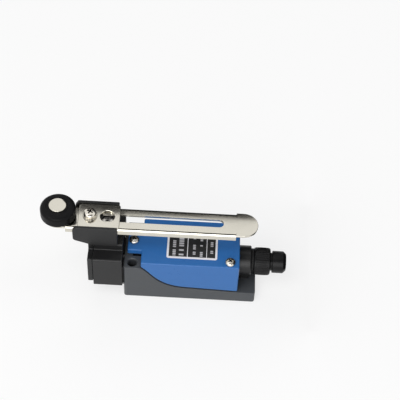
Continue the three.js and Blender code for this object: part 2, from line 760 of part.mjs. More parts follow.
// The closed pair of contacts is on the plunger's side of the bridge, the open pair behind it.
const legPlaces = () => [
  { x: bridgeX - bridge.contactHeight - contactLeg.gap - terminal.thickness, reach: -1 },
  { x: bridgeBack + plunger.travel + contactLeg.gap, reach: 1 },
];

function terminalScrewPlaces() {
  const [closed, open] = legPlaces();
  const places = [];
  for (const y of [-terminalY, terminalY]) {
    places.push([closed.x - half(terminal.tab) + terminalShift.near, y]);
    places.push([open.x + terminal.thickness + half(terminal.tab) + terminalShift.far, y]);
  }
  return places;
}

function contactLid() {
  const side = half(block.width);
  const start = blockTop + seat;
  let shape = box(blockX, blockX + block.length, -side, side, start, lidTop);
  const room = half(terminal.width) + gap;
  for (const { x } of legPlaces()) {
    for (const y of [-terminalY, terminalY]) {
      shape = shape.subtract(
        box(x - gap, x + terminal.thickness + gap, y - room, y + room, start - poke, lidTop + poke),
      );
    }
  }
  for (const [x, y] of terminalScrewPlaces()) {
    const hole = zRod(x, y, terminalScrew.shank + seat, start - poke, lidTop + poke, segments.coarse);
    shape = shape.subtract(hole);
  }
  return shape;
}

// A contact leg inside the block and the tab outside it that takes a wire under a screw.
function terminalStrip(leg, y, screw) {
  const room = half(terminal.width);
  const top = lidTop + seat + terminal.thickness;
  let shape = box(leg.x, leg.x + terminal.thickness, y - room, y + room, actuatorZ - contactLeg.below, top);
  const far = screw[0] + leg.reach * terminal.tabEnd;
  const [low, high] = [far, leg.x + half(terminal.thickness)].sort((a, b) => a - b);
  shape = shape.add(box(low, high, y - room, y + room, lidTop + seat, top));
  return shape.subtract(zRod(screw[0], y, terminalScrew.shank + seat, lidTop, top + poke, segments.coarse));
}

function pushButton() {
  return alongX(
    turned([
      [0, buttonTip],
      [button.radius - button.nose, buttonTip],
      [button.radius, buttonTip + button.noseLength],
      [button.radius, bridgeX - seat],
      [0, bridgeX - seat],
    ], segments.coarse),
  ).translate([0, 0, actuatorZ]);
}

function contactBridge() {
  const side = terminalY + bridge.overhang;
  const tall = half(bridge.height);
  let shape = box(bridgeX, bridgeX + bridge.thickness, -side, side, actuatorZ - tall, actuatorZ + tall);
  for (const y of [-terminalY, terminalY]) {
    const start = bridgeX - bridge.contactHeight;
    shape = shape.add(xRod(y, actuatorZ, bridge.contact, start, bridgeBack, 12));
  }
  return shape;
}

function contactSpring() {
  const start = bridgeX + bridge.thickness + seat;
  const end = chamberX + block.chamberLength - seat;
  const shape = coil(blockSpring.radius, blockSpring.wire, blockSpring.turns, end - start, 8);
  return alongX(shape).translate([start, 0, actuatorZ]);
}

// ---- Assembly ----
const limitSwitch = new THREE.Group();

// Adds a solid to a group as a named mesh at a place, turned when it lies another way.
function addPiece(name, shape, material, place = [0, 0, 0], turn = [0, 0, 0], parent = limitSwitch) {
  const { vertProperties, triVerts, numProp } = shape.getMesh();
  const count = vertProperties.length / numProp;
  const position = new Float32Array(count * 3);
  for (let i = 0; i < count; i += 1) {
    position.set(vertProperties.subarray(i * numProp, i * numProp + 3), i * 3);
  }
  const geometry = new THREE.BufferGeometry();
  geometry.setAttribute("position", new THREE.BufferAttribute(position, 3));
  geometry.setIndex(new THREE.BufferAttribute(triVerts, 1));
  geometry.computeVertexNormals();
  const mesh = new THREE.Mesh(geometry, material);
  mesh.name = name;
  mesh.position.set(...place);
  mesh.rotation.set(...turn);
  parent.add(mesh);
}

function addBody() {
  addPiece("base_housing", baseHousing(), castGrey);
  addPiece("front_cover", frontCover(), blueShell);
  addPiece("cover_gasket_near", coverGasket(-1), blackRubber);
  addPiece("cover_gasket_far", coverGasket(1), blackRubber);
  addPiece("label_plate", labelPlate(), labelFilm);
  const coverScrewSize = { ...coverScrew, length: coverScrewLength };
  coverScrewPlaces().forEach(([x, y, top], i) => {
    addPiece(`cover_screw_${i + 1}`, panScrew(coverScrewSize), nickel, [x, y, top + press]);
  });
  addPiece("gland_body", glandBody(), blackPlastic, [0, 0, bossZ]);
  addPiece("gland_washer", glandWasher(), blackRubber, [0, 0, bossZ]);
  addPiece("gland_nut", glandCap(), blackPlastic, [0, 0, bossZ]);
  addPiece("gland_seal", cableSeal(), blackRubber, [0, 0, bossZ]);
  const earthTop = body.floor + earth.height + press;
  addPiece("earth_washer", tube(earth.washer, blockScrew.shank + seat, 0, earth.washerThickness), brass,
    [earthX, earth.y, earthTop]);
  addPiece("earth_screw", panScrew(blockScrew), brass,
    [earthX, earth.y, earthTop + earth.washerThickness + press]);
}

function addHead() {
  addPiece("head_housing", headHousing(), blackCast);
  addPiece("head_end_cap", headEndCap(), blackCast);
  addPiece("head_gasket", headGasket(), blackRubber);
  addPiece("shaft_bush", shaftBush(), brass);
  addPiece("shaft_seal", shaftSeal(), blackRubber);
  const length = headEnd + headScrew.reach - capFaceX;
  headScrewPlaces().forEach(([y, z], i) => {
    addPiece(`head_screw_${i + 1}`, flatScrew({ ...headScrew, length }), steel, [capFaceX, y, z],
      [0, -half(Math.PI), 0]);
  });
  addPiece("plunger", pushPlunger(), steel);
  addPiece("plunger_spring", returnSpring(), steel);
  const { room, wire, turns, length: springLength } = leverSpring;
  addPiece("lever_spring", coil(shaft.radius + room + half(wire), wire, turns, springLength, 10), steel,
    [shaftX, 0, leverSpringBottom]);
}

// Everything that turns about the shaft sits in one group on the shaft's axis.
function addLever() {
  const lever = new THREE.Group();
  lever.position.set(shaftX, 0, 0);
  limitSwitch.add(lever);
  const still = [0, 0, 0];
  addPiece("lever_shaft", leverShaft(), steel, still, still, lever);
  addPiece("actuating_cam", actuatingCam(), steel, still, still, lever);
  addPiece("lever_hub", leverHub(), blackCast, still, still, lever);
  addPiece("shaft_screw", hubScrew(), steel, [0, 0, shaftTop + press], still, lever);
  addPiece("clamp_plate", armClampPlate(), nickel, still, still, lever);
  const ringBottom = plateTop + press;
  addPiece("clamp_washer", tube(washer.radius, clampScrew.shank + gap, 0, washer.thickness), nickel,
    [-clampScrew.fromShaft, 0, ringBottom], still, lever);
  const headUnder = ringBottom + washer.thickness + press;
  addPiece("clamp_screw", panScrew({ ...clampScrew, length: headUnder - clampBottom }, segments.fine), nickel,
    [-clampScrew.fromShaft, 0, headUnder], still, lever);
  addPiece("lever_arm", slidingArm(), nickel, still, still, lever);
  addPiece("roller_pin", rollerPin(), nickel, [-arm.reach, 0, 0], still, lever);
  addPiece("roller_washer", rollerSpacer(), steel, [-arm.reach, 0, 0], still, lever);
  addPiece("roller", rollerRing(), blackPlastic, [-arm.reach, 0, 0], still, lever);
}

function addContactBlock() {
  addPiece("contact_case", contactCase(), phenolic);
  addPiece("contact_lid", contactLid(), phenolic);
  addPiece("push_button", pushButton(), blackPlastic);
  addPiece("contact_bridge", contactBridge(), brass);
  addPiece("contact_spring", contactSpring(), steel);
  const legs = legPlaces();
  terminalScrewPlaces().forEach((screw, i) => {
    const [x, y] = screw;
    addPiece(`terminal_${i + 1}`, terminalStrip(legs[i % 2], y, screw), brass);
    addPiece(`terminal_screw_${i + 1}`, panScrew(terminalScrew), nickel,
      [x, y, lidTop + seat + terminal.thickness + press]);
  });
  [-blockEar.screwY, blockEar.screwY].forEach((y, i) => {
    addPiece(`block_screw_${i + 1}`, panScrew({ ...blockScrew }), steel,
      [earX(), y, blockBottom + blockEar.thickness + press]);
  });
}

addBody();
addHead();
addLever();
addContactBlock();

export default limitSwitch;
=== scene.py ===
import json
import math
import bmesh
import bpy
from mathutils import Matrix, Vector


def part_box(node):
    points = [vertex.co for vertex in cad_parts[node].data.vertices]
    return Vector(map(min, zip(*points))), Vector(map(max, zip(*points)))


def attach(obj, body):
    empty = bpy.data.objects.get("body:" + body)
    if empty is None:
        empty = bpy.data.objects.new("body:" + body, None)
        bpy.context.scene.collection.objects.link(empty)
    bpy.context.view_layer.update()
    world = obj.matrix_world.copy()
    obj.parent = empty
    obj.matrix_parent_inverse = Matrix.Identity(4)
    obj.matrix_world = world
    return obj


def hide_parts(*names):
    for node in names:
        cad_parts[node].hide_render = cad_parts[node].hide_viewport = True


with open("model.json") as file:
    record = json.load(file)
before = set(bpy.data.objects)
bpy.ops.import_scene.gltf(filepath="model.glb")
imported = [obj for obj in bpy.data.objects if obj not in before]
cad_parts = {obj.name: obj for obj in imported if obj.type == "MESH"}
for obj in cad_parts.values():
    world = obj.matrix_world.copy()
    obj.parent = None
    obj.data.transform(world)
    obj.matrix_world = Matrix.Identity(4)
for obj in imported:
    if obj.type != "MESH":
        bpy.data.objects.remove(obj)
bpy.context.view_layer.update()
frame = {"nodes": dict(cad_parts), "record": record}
scene = bpy.context.scene
mm = 0.001  # pieces are built in millimetres and scaled once at the end
shownNodes = frame["nodes"]
print("frame loaded:", len(shownNodes), "nodes")


def boxOf(node):  # lowest and highest corner of a CAD node, in millimetres
    low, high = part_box(node)
    return low / mm, high / mm


def middleOf(node):
    low, high = boxOf(node)
    return (low + high) / 2


# camera, lamps and floor
cameraSetup = {
    "target": (2.86, 0.0, 59.165),
    "distance": 540.23,
    "tilt": 39.885,  # degrees from straight down on the front
    "roll": 3.022,
    "lens": 105.58,
    "sensor": 36.0,
}


def makeCamera(setup):
    tilt, roll = math.radians(setup["tilt"]), math.radians(setup["roll"])
    back = Vector((0, -math.sin(tilt), math.cos(tilt)))
    side = Vector((math.cos(roll), math.sin(roll) * math.cos(tilt), math.sin(roll) * math.sin(tilt)))
    above = back.cross(side)
    data = bpy.data.cameras.new("camera")
    data.lens, data.sensor_width = setup["lens"], setup["sensor"]
    data.clip_start, data.clip_end = 0.01, 20
    camera = bpy.data.objects.new("camera", data)
    scene.collection.objects.link(camera)
    turn = Matrix((side, above, back)).transposed().to_4x4()
    place = Vector(setup["target"]) * mm + back * setup["distance"] * mm
    camera.matrix_world = Matrix.Translation(place) @ turn
    scene.camera = camera


lampSetup = [
    # name, place in metres, size in metres, watts
    ("frontLamp", (-0.15, -0.85, 0.42), 0.75, 4.2),
    ("topLamp", (-0.35, -0.35, 0.95), 0.6, 4.0),
    ("sideLamp", (0.75, 0.1, 0.6), 0.5, 1.7),
    ("rearLamp", (-0.1, 0.85, 0.6), 0.7, 2.2),
]
aimPoint = (0.0, 0.0, 0.02)


def makeLamps(lamps):
    for name, place, size, power in lamps:
        data = bpy.data.lights.new(name, "AREA")
        data.shape, data.size, data.energy = "SQUARE", size, power
        lamp = bpy.data.objects.new(name, data)
        scene.collection.objects.link(lamp)
        lamp.location = place
        lamp.rotation_euler = (Vector(aimPoint) - Vector(place)).to_track_quat("-Z", "Y").to_euler()
        lamp.visible_glossy = name in ("frontLamp", "topLamp")


studio = {"ambient": 0.34, "white": 1.0, "floorSize": 8.0, "floorGlow": 0.72, "floorTone": 0.9}


def pathMask(tree):  # 1 for camera, glossy and transmission rays
    path = tree.nodes.new("ShaderNodeLightPath")
    total = None
    for label in ("Is Camera Ray", "Is Glossy Ray", "Is Transmission Ray"):
        if total is None:
            total = path.outputs[label]
            continue
        larger = tree.nodes.new("ShaderNodeMath")
        larger.operation = "MAXIMUM"
        tree.links.new(total, larger.inputs[0])
        tree.links.new(path.outputs[label], larger.inputs[1])
        total = larger.outputs[0]
    return total


def makeStudio(setup):
    world = bpy.data.worlds.new("studio")
    scene.world = world
    world.use_nodes = True
    tree = world.node_tree
    background = tree.nodes["Background"]
    background.inputs["Color"].default_value = (1, 1, 1, 1)
    level = tree.nodes.new("ShaderNodeMapRange")
    level.inputs["To Min"].default_value = setup["ambient"]
    level.inputs["To Max"].default_value = setup["white"]
    tree.links.new(pathMask(tree), level.inputs["Value"])
    tree.links.new(level.outputs["Result"], background.inputs["Strength"])

    build = bmesh.new()
    bmesh.ops.create_grid(build, x_segments=1, y_segments=1, size=setup["floorSize"] / 2)
    mesh = bpy.data.meshes.new("floor")
    build.to_mesh(mesh)
    build.free()
    floor = bpy.data.objects.new("floor", mesh)
    floor.location = (0, 0, -0.0002)
    scene.collection.objects.link(floor)
    material = bpy.data.materials.new("paleFloor")
    material.use_nodes = True
    tree = material.node_tree
    tree.nodes.clear()
    plain = tree.nodes.new("ShaderNodeBsdfDiffuse")
    plain.inputs["Color"].default_value = (setup["floorTone"],) * 3 + (1,)
    glow = tree.nodes.new("ShaderNodeEmission")
    blend = tree.nodes.new("ShaderNodeMixShader")
    share = tree.nodes.new("ShaderNodeMath")
    share.operation = "MULTIPLY"
    share.inputs[1].default_value = setup["floorGlow"]
    out = tree.nodes.new("ShaderNodeOutputMaterial")
    tree.links.new(pathMask(tree), share.inputs[0])
    tree.links.new(share.outputs[0], blend.inputs[0])
    tree.links.new(plain.outputs[0], blend.inputs[1])
    tree.links.new(glow.outputs[0], blend.inputs[2])
    tree.links.new(blend.outputs[0], out.inputs["Surface"])
    mesh.materials.append(material)


cards = {
    # corners in metres; only glossy rays meet a card unless it also shades
    "rearCard": ([(-0.062, 0.03, 0.02), (0.05, 0.03, 0.02), (0.032, 0.03, 0.0755), (-0.0345, 0.03, 0.076),
                  (-0.0355, 0.03, 0.0785), (-0.062, 0.03, 0.0785)], False),
    "overheadCard": ([(-0.5, -0.66, 0.72), (0.5, -0.66, 0.72), (0.5, -0.1, 0.92), (-0.5, -0.1, 0.92)], False),
    "glandCard": ([(0.06, -0.03, 0.0), (0.06, 0.05, 0.0), (0.048, 0.05, 0.075), (0.048, -0.03, 0.075)], True),
}
cardTone = 0.015


def makeCards(setup, tone):  # dark cards round the object, for the dark lines in polished metal
    material = bpy.data.materials.new("darkCard")
    material.use_nodes = True
    shader = material.node_tree.nodes["Principled BSDF"]
    shader.inputs["Base Color"].default_value = (tone,) * 3 + (1,)
    shader.inputs["Roughness"].default_value = 0.9
    for name, (corners, shades) in setup.items():
        build = bmesh.new()
        build.faces.new([build.verts.new(corner) for corner in corners])
        mesh = bpy.data.meshes.new(name)
        build.to_mesh(mesh)
        build.free()
        mesh.materials.append(material)
        card = bpy.data.objects.new(name, mesh)
        scene.collection.objects.link(card)
        card.visible_camera = card.visible_shadow = False
        card.visible_diffuse = shades


scene.view_settings.view_transform = "Standard"
makeCamera(cameraSetup)
makeLamps(lampSetup)
makeStudio(studio)
makeCards(cards, cardTone)
print("camera, lamps and floor made")


# shared shader groups
def addNode(tree, kind, inputs=None, **settings):
    node = tree.nodes.new(kind)
    for label, value in settings.items():
        setattr(node, label, value)
    for label, value in (inputs or {}).items():
        socket = node.inputs[label]
        if isinstance(value, bpy.types.NodeSocket):
            tree.links.new(value, socket)
        else:
            socket.default_value = value
    return node


def mathNode(tree, operation, first, second=0.0, clamp=False):
    node = addNode(tree, "ShaderNodeMath", {0: first, 1: second}, operation=operation)
    node.use_clamp = clamp
    return node.outputs[0]


def times(tree, first, second, clamp=False):
    return mathNode(tree, "MULTIPLY", first, second, clamp)


def plus(tree, first, second):
    return mathNode(tree, "ADD", first, second)


def minus(tree, first, second):
    return mathNode(tree, "SUBTRACT", first, second)


def startGroup(name, inputs, outputs):
    tree = bpy.data.node_groups.new(name, "ShaderNodeTree")
    for label, kind, value in inputs:
        socket = tree.interface.new_socket(name=label, in_out="INPUT", socket_type=kind)
        if value is not None:
            socket.default_value = value
    for label, kind in outputs:
        tree.interface.new_socket(name=label, in_out="OUTPUT", socket_type=kind)
    return tree, tree.nodes.new("NodeGroupInput"), tree.nodes.new("NodeGroupOutput")


def makeGrainGroup():  # fine cast or moulded skin: a value and a bumped normal
    tree, given, made = startGroup(
        "surfaceGrain",
        [("Vector", "NodeSocketVector", None), ("Scale", "NodeSocketFloat", 4000.0),
         ("Strength", "NodeSocketFloat", 0.2), ("Distance", "NodeSocketFloat", 0.00005)],
        [("Value", "NodeSocketFloat"), ("Normal", "NodeSocketVector")],
    )
    fine = addNode(tree, "ShaderNodeTexNoise", {"Vector": given.outputs["Vector"],
        "Scale": given.outputs["Scale"],
                                                "Detail": 3.0, "Roughness": 0.6})
    coarseScale = times(tree, given.outputs["Scale"], 0.23)
    coarse = addNode(tree, "ShaderNodeTexNoise", {"Vector": given.outputs["Vector"], "Scale": coarseScale,
                                                  "Detail": 2.0})
    total = plus(tree, times(tree, fine.outputs[0], 0.65),
                     times(tree, coarse.outputs[0], 0.35))
    bump = addNode(tree, "ShaderNodeBump", {"Strength": given.outputs["Strength"], "Height": total,
                                            "Distance": given.outputs["Distance"]})
    tree.links.new(total, made.inputs["Value"])
    tree.links.new(bump.outputs[0], made.inputs["Normal"])
    return tree


wearGain = 9.0  # how fast the mask rises as an edge turns away


def makeWearGroup():  # a broken mask along convex edges
    tree, given, made = startGroup(
        "edgeWear",
        [("Vector", "NodeSocketVector", None), ("Radius", "NodeSocketFloat", 0.0004),
         ("Breakup", "NodeSocketFloat", 900.0), ("Amount", "NodeSocketFloat", 0.5)],
        [("Mask", "NodeSocketFloat")],
    )
    rounded = addNode(tree, "ShaderNodeBevel", {"Radius": given.outputs["Radius"]}, samples=4)
    surface = addNode(tree, "ShaderNodeNewGeometry")
    match = addNode(tree, "ShaderNodeVectorMath", {0: rounded.outputs[0], 1: surface.outputs["Normal"]},
                    operation="DOT_PRODUCT")
    edge = times(tree, minus(tree, 1.0, match.outputs["Value"]), wearGain, clamp=True)
    patches = addNode(tree, "ShaderNodeTexNoise", {"Vector": given.outputs["Vector"],
                                                   "Scale": given.outputs["Breakup"], "Detail": 4.0})
    broken = addNode(tree, "ShaderNodeMapRange", {"Value": patches.outputs[0], "From Min": 0.45,
        "From Max": 0.68})
    mask = times(tree, times(tree, edge, broken.outputs[0]), given.outputs["Amount"],
                    clamp=True)
    tree.links.new(mask, made.inputs["Mask"])
    return tree


def makeSmudgeGroup():  # large soft patches from handling, between a low and a high value
    tree, given, made = startGroup(
        "handlingPatches",
        [("Vector", "NodeSocketVector", None), ("Scale", "NodeSocketFloat", 90.0),
         ("Low", "NodeSocketFloat", 0.3), ("High", "NodeSocketFloat", 0.45)],
        [("Value", "NodeSocketFloat"), ("Patch", "NodeSocketFloat")],
    )
    soft = addNode(tree, "ShaderNodeTexNoise", {"Vector": given.outputs["Vector"],
        "Scale": given.outputs["Scale"],
                                                "Detail": 5.0, "Roughness": 0.62, "Distortion": 0.4})
    level = addNode(tree, "ShaderNodeMapRange", {"Value": soft.outputs[0], "From Min": 0.35, "From Max": 0.65,
                                                 "To Min": given.outputs["Low"],
                                                 "To Max": given.outputs["High"]})
    tree.links.new(level.outputs[0], made.inputs["Value"])
    tree.links.new(soft.outputs[0], made.inputs["Patch"])
    return tree


def makeHairlineGroup():  # polishing lines along X with a few cross scratches
    tree, given, made = startGroup(
        "polishLines",
        [("Vector", "NodeSocketVector", None), ("Strength", "NodeSocketFloat", 0.06),
         ("Distance", "NodeSocketFloat", 0.00002)],
        [("Value", "NodeSocketFloat"), ("Normal", "NodeSocketVector")],
    )
    stretch = addNode(tree, "ShaderNodeMapping", {"Vector": given.outputs["Vector"], "Scale": (60.0,
        6000.0, 6000.0)})
    lines = addNode(tree, "ShaderNodeTexNoise", {"Vector": stretch.outputs[0], "Scale": 1.0, "Detail": 2.0})
    turned = addNode(tree, "ShaderNodeMapping", {"Vector": given.outputs["Vector"], "Rotation": (0, 0, 0.9),
                                                 "Scale": (120.0, 2600.0, 2600.0)})
    marks = addNode(tree, "ShaderNodeTexNoise", {"Vector": turned.outputs[0], "Scale": 1.0, "Detail": 1.0})
    few = addNode(tree, "ShaderNodeMapRange", {"Value": marks.outputs[0], "From Min": 0.7, "From Max": 0.76})
    total = plus(tree, lines.outputs[0], times(tree, few.outputs[0], 0.5))
    bump = addNode(tree, "ShaderNodeBump", {"Strength": given.outputs["Strength"], "Height": total,
                                            "Distance": given.outputs["Distance"]})
    tree.links.new(total, made.inputs["Value"])
    tree.links.new(bump.outputs[0], made.inputs["Normal"])
    return tree


grainGroup = makeGrainGroup()
wearGroup = makeWearGroup()
smudgeGroup = makeSmudgeGroup()
hairlineGroup = makeHairlineGroup()


def placeGroup(tree, group, **inputs):
    node = tree.nodes.new("ShaderNodeGroup")
    node.node_tree = group
    for label, value in inputs.items():
        if isinstance(value, bpy.types.NodeSocket):
            tree.links.new(value, node.inputs[label])
        else:
            node.inputs[label].default_value = value
    return node


def mixColour(tree, factor, first, second):
    node = tree.nodes.new("ShaderNodeMix")
    node.data_type = "RGBA"
    for index, value in ((0, factor), (6, first), (7, second)):
        if isinstance(value, bpy.types.NodeSocket):
            tree.links.new(value, node.inputs[index])
        elif isinstance(value, tuple):
            node.inputs[index].default_value = value + (1,) if len(value) == 3 else value
        else:
            node.inputs[index].default_value = value
    return node.outputs[2]


def startMaterial(name):
    material = bpy.data.materials.new(name)
    material.use_nodes = True
    tree = material.node_tree
    shader = tree.nodes["Principled BSDF"]
    place = tree.nodes.new("ShaderNodeTexCoord").outputs["Object"]
    return material, tree, shader, place


# paint, plastic, rubber: a coloured skin, worn to another colour on its edges
def coatedMaterial(name, look):
    material, tree, shader, place = startMaterial(name)
    grain = placeGroup(tree, grainGroup, Vector=place, Scale=look["grainScale"], Strength=look["grain"],
                       Distance=look["grainDepth"])
    patches = placeGroup(tree, smudgeGroup, Vector=place, Scale=look["patchScale"], Low=look["rough"][0],
                         High=look["rough"][1])
    wear = placeGroup(tree, wearGroup, Vector=place, Radius=look["wearRadius"], Amount=look["wear"],
                      Breakup=look["wearScale"])
    tone = mixColour(tree, grain.outputs["Value"], look["colour"], look["second"])
    tone = mixColour(tree, times(tree, patches.outputs["Patch"], look["patch"]), tone, look["dust"])
    tone = mixColour(tree, wear.outputs["Mask"], tone, look["bare"])
    tree.links.new(tone, shader.inputs["Base Color"])
    rough = plus(tree, patches.outputs["Value"],
                     times(tree, minus(tree, grain.outputs["Value"], 0.5), 0.25))
    tree.links.new(rough, shader.inputs["Roughness"])
    tree.links.new(grain.outputs["Normal"], shader.inputs["Normal"])
    shader.inputs["Specular IOR Level"].default_value = look["specular"]
    shader.inputs["Coat Weight"].default_value = look["coat"]
    return material


# near-black for grime and painted shade in recesses
grimeAndShadeColour = (0.02, 0.018, 0.015)


def metalMaterial(name, look):  # plated or bare metal with polishing lines and a dull film in places
    material, tree, shader, place = startMaterial(name)
    lines = placeGroup(tree, hairlineGroup, Vector=place, Strength=look["lines"], Distance=0.00002)
    patches = placeGroup(tree, smudgeGroup, Vector=place, Scale=look["patchScale"], Low=look["rough"][0],
                         High=look["rough"][1])
    grain = placeGroup(tree, grainGroup, Vector=place, Scale=2500.0, Strength=0.0, Distance=0.00001)
    tone = mixColour(tree, patches.outputs["Patch"], look["colour"], look["second"])
    tone = mixColour(tree, times(tree, grain.outputs["Value"], look["speck"]), tone, look["film"])
    # grime and painted shade: ambient occlusion darkens screw crosses, recesses and the rims round washers
    # towards near-black, so shade is painted into the colour along with grime
    hidden = addNode(tree, "ShaderNodeAmbientOcclusion", {"Distance": look["grimeAndShadeReach"]}, samples=6)
    grimeAndShade = addNode(tree, "ShaderNodeMapRange", {"Value": hidden.outputs["AO"], "From Min": 0.35,
        "From Max": 0.85,
                                                 "To Min": look["grimeAndShade"], "To Max": 0.0})
    tone = mixColour(tree, grimeAndShade.outputs[0], tone, grimeAndShadeColour)
    tree.links.new(tone, shader.inputs["Base Color"])
    rough = plus(tree, patches.outputs["Value"],
                     times(tree, lines.outputs["Value"], 0.04))
    tree.links.new(rough, shader.inputs["Roughness"])
    tree.links.new(lines.outputs["Normal"], shader.inputs["Normal"])
    shader.inputs["Metallic"].default_value = 1.0
    return material


coatedLooks = {
    "castGrey": {"colour": (0.04, 0.045, 0.051), "second": (0.058, 0.064, 0.071), "dust": (0.1, 0.1, 0.1),
                 "bare": (0.3, 0.3, 0.3), "rough": (0.36, 0.5), "grainScale": 2600.0, "grain": 0.32,
                 "grainDepth": 0.00006, "patchScale": 55.0, "patch": 0.16, "wear": 0.35, "wearRadius": 0.0005,
                 "wearScale": 700.0, "specular": 0.5, "coat": 0.0},
    "blackCast": {"colour": (0.007, 0.007, 0.0075), "second": (0.013, 0.013, 0.0135), "dust": (0.035,
    0.035, 0.035),
                  "bare": (0.09, 0.09, 0.09), "rough": (0.32, 0.46), "grainScale": 2600.0, "grain": 0.26,
                  "grainDepth": 0.00006, "patchScale": 60.0, "patch": 0.14, "wear": 0.35,
                  "wearRadius": 0.0005,
                  "wearScale": 800.0, "specular": 0.36, "coat": 0.0},
    "bluePaint": {"colour": (0.013, 0.115, 0.37), "second": (0.02, 0.145, 0.43), "dust": (0.045, 0.17, 0.45),
                  "bare": (0.16, 0.3, 0.55), "rough": (0.3, 0.42), "grainScale": 1500.0, "grain": 0.16,
                  "grainDepth": 0.00005, "patchScale": 50.0, "patch": 0.2, "wear": 0.4, "wearRadius": 0.0006,
                  "wearScale": 600.0, "specular": 0.5, "coat": 0.0},
    "blackPlastic": {"colour": (0.004, 0.004, 0.0045), "second": (0.007, 0.007, 0.0075), "dust": (0.02,
    0.02, 0.02),
                     "bare": (0.05, 0.05, 0.05), "rough": (0.28, 0.42), "grainScale": 3500.0, "grain": 0.12,
                     "grainDepth": 0.00003, "patchScale": 120.0, "patch": 0.12, "wear": 0.3,
                     "wearRadius": 0.0003,
                     "wearScale": 900.0, "specular": 0.2, "coat": 0.0},
    "rollerNylon": {"colour": (0.003, 0.003, 0.0034), "second": (0.006, 0.006, 0.0065), "dust": (0.018,
    0.018, 0.018),
                    "bare": (0.06, 0.06, 0.06), "rough": (0.34, 0.5), "grainScale": 3000.0, "grain": 0.14,
                    "grainDepth": 0.00003, "patchScale": 160.0, "patch": 0.1, "wear": 0.25,
                    "wearRadius": 0.0005,
                    "wearScale": 900.0, "specular": 0.1, "coat": 0.0},
    "rubber": {"colour": (0.012, 0.012, 0.013), "second": (0.02, 0.02, 0.02), "dust": (0.06, 0.06, 0.058),
               "bare": (0.04, 0.04, 0.04), "rough": (0.7, 0.85), "grainScale": 3000.0, "grain": 0.25,
               "grainDepth": 0.00005, "patchScale": 150.0, "patch": 0.15, "wear": 0.15, "wearRadius": 0.0003,
               "wearScale": 900.0, "specular": 0.3, "coat": 0.0},
    "phenolic": {"colour": (0.032, 0.02, 0.014), "second": (0.05, 0.032, 0.022), "dust": (0.08, 0.06, 0.05),
                 "bare": (0.1, 0.07, 0.05), "rough": (0.35, 0.5), "grainScale": 2500.0, "grain": 0.15,
                 "grainDepth": 0.00004, "patchScale": 140.0, "patch": 0.2, "wear": 0.3, "wearRadius": 0.0003,
                 "wearScale": 900.0, "specular": 0.5, "coat": 0.0},
}
metalLooks = {
    "nickelPlate": {"colour": (0.76, 0.73, 0.65), "second": (0.66, 0.63, 0.55), "film": (0.56, 0.53, 0.46),
                    "rough": (0.08, 0.13), "lines": 0.02, "patchScale": 60.0, "speck": 0.16, "grimeAndShade": 0.5,
                    "grimeAndShadeReach": 0.0005},
    "screwPlate": {"colour": (0.84, 0.8, 0.72), "second": (0.72, 0.68, 0.6), "film": (0.6, 0.55, 0.48),
                   "rough": (0.16, 0.27), "lines": 0.04, "patchScale": 300.0, "speck": 0.25, "grimeAndShade": 0.95,
                   "grimeAndShadeReach": 0.0011},
    "bareSteel": {"colour": (0.6, 0.6, 0.6), "second": (0.48, 0.47, 0.46), "film": (0.4, 0.38, 0.36),
                  "rough": (0.28, 0.4), "lines": 0.12, "patchScale": 200.0, "speck": 0.3, "grimeAndShade": 0.8,
                  "grimeAndShadeReach": 0.0008},
    "brass": {"colour": (0.72, 0.5, 0.2), "second": (0.6, 0.4, 0.16), "film": (0.45, 0.3, 0.12),
              "rough": (0.25, 0.4), "lines": 0.08, "patchScale": 200.0, "speck": 0.3, "grimeAndShade": 0.6,
              "grimeAndShadeReach": 0.0008},
}
finishes = {name: coatedMaterial(name, look) for name, look in coatedLooks.items()}
finishes.update({name: metalMaterial(name, look) for name, look in metalLooks.items()})

labelPrint = {
    "border": 1.0,  # pale band round the edge, mm
    "rules": [(-2.2, -8.85, 8.85, 0.32), (7.0, -8.85, 3.0, 0.28)],  # x, from y, to y, width
    "rows": [(-8.6, 1.5), (-5.2, 2.3), (1.0, 1.3), (4.4, 1.3), (9.4, 1.3)],  # x of a row of dashes, its height
    "dash": 0.9,
    "ink": (0.012, 0.012, 0.013),
    "pale": (0.85, 0.84, 0.88),
}


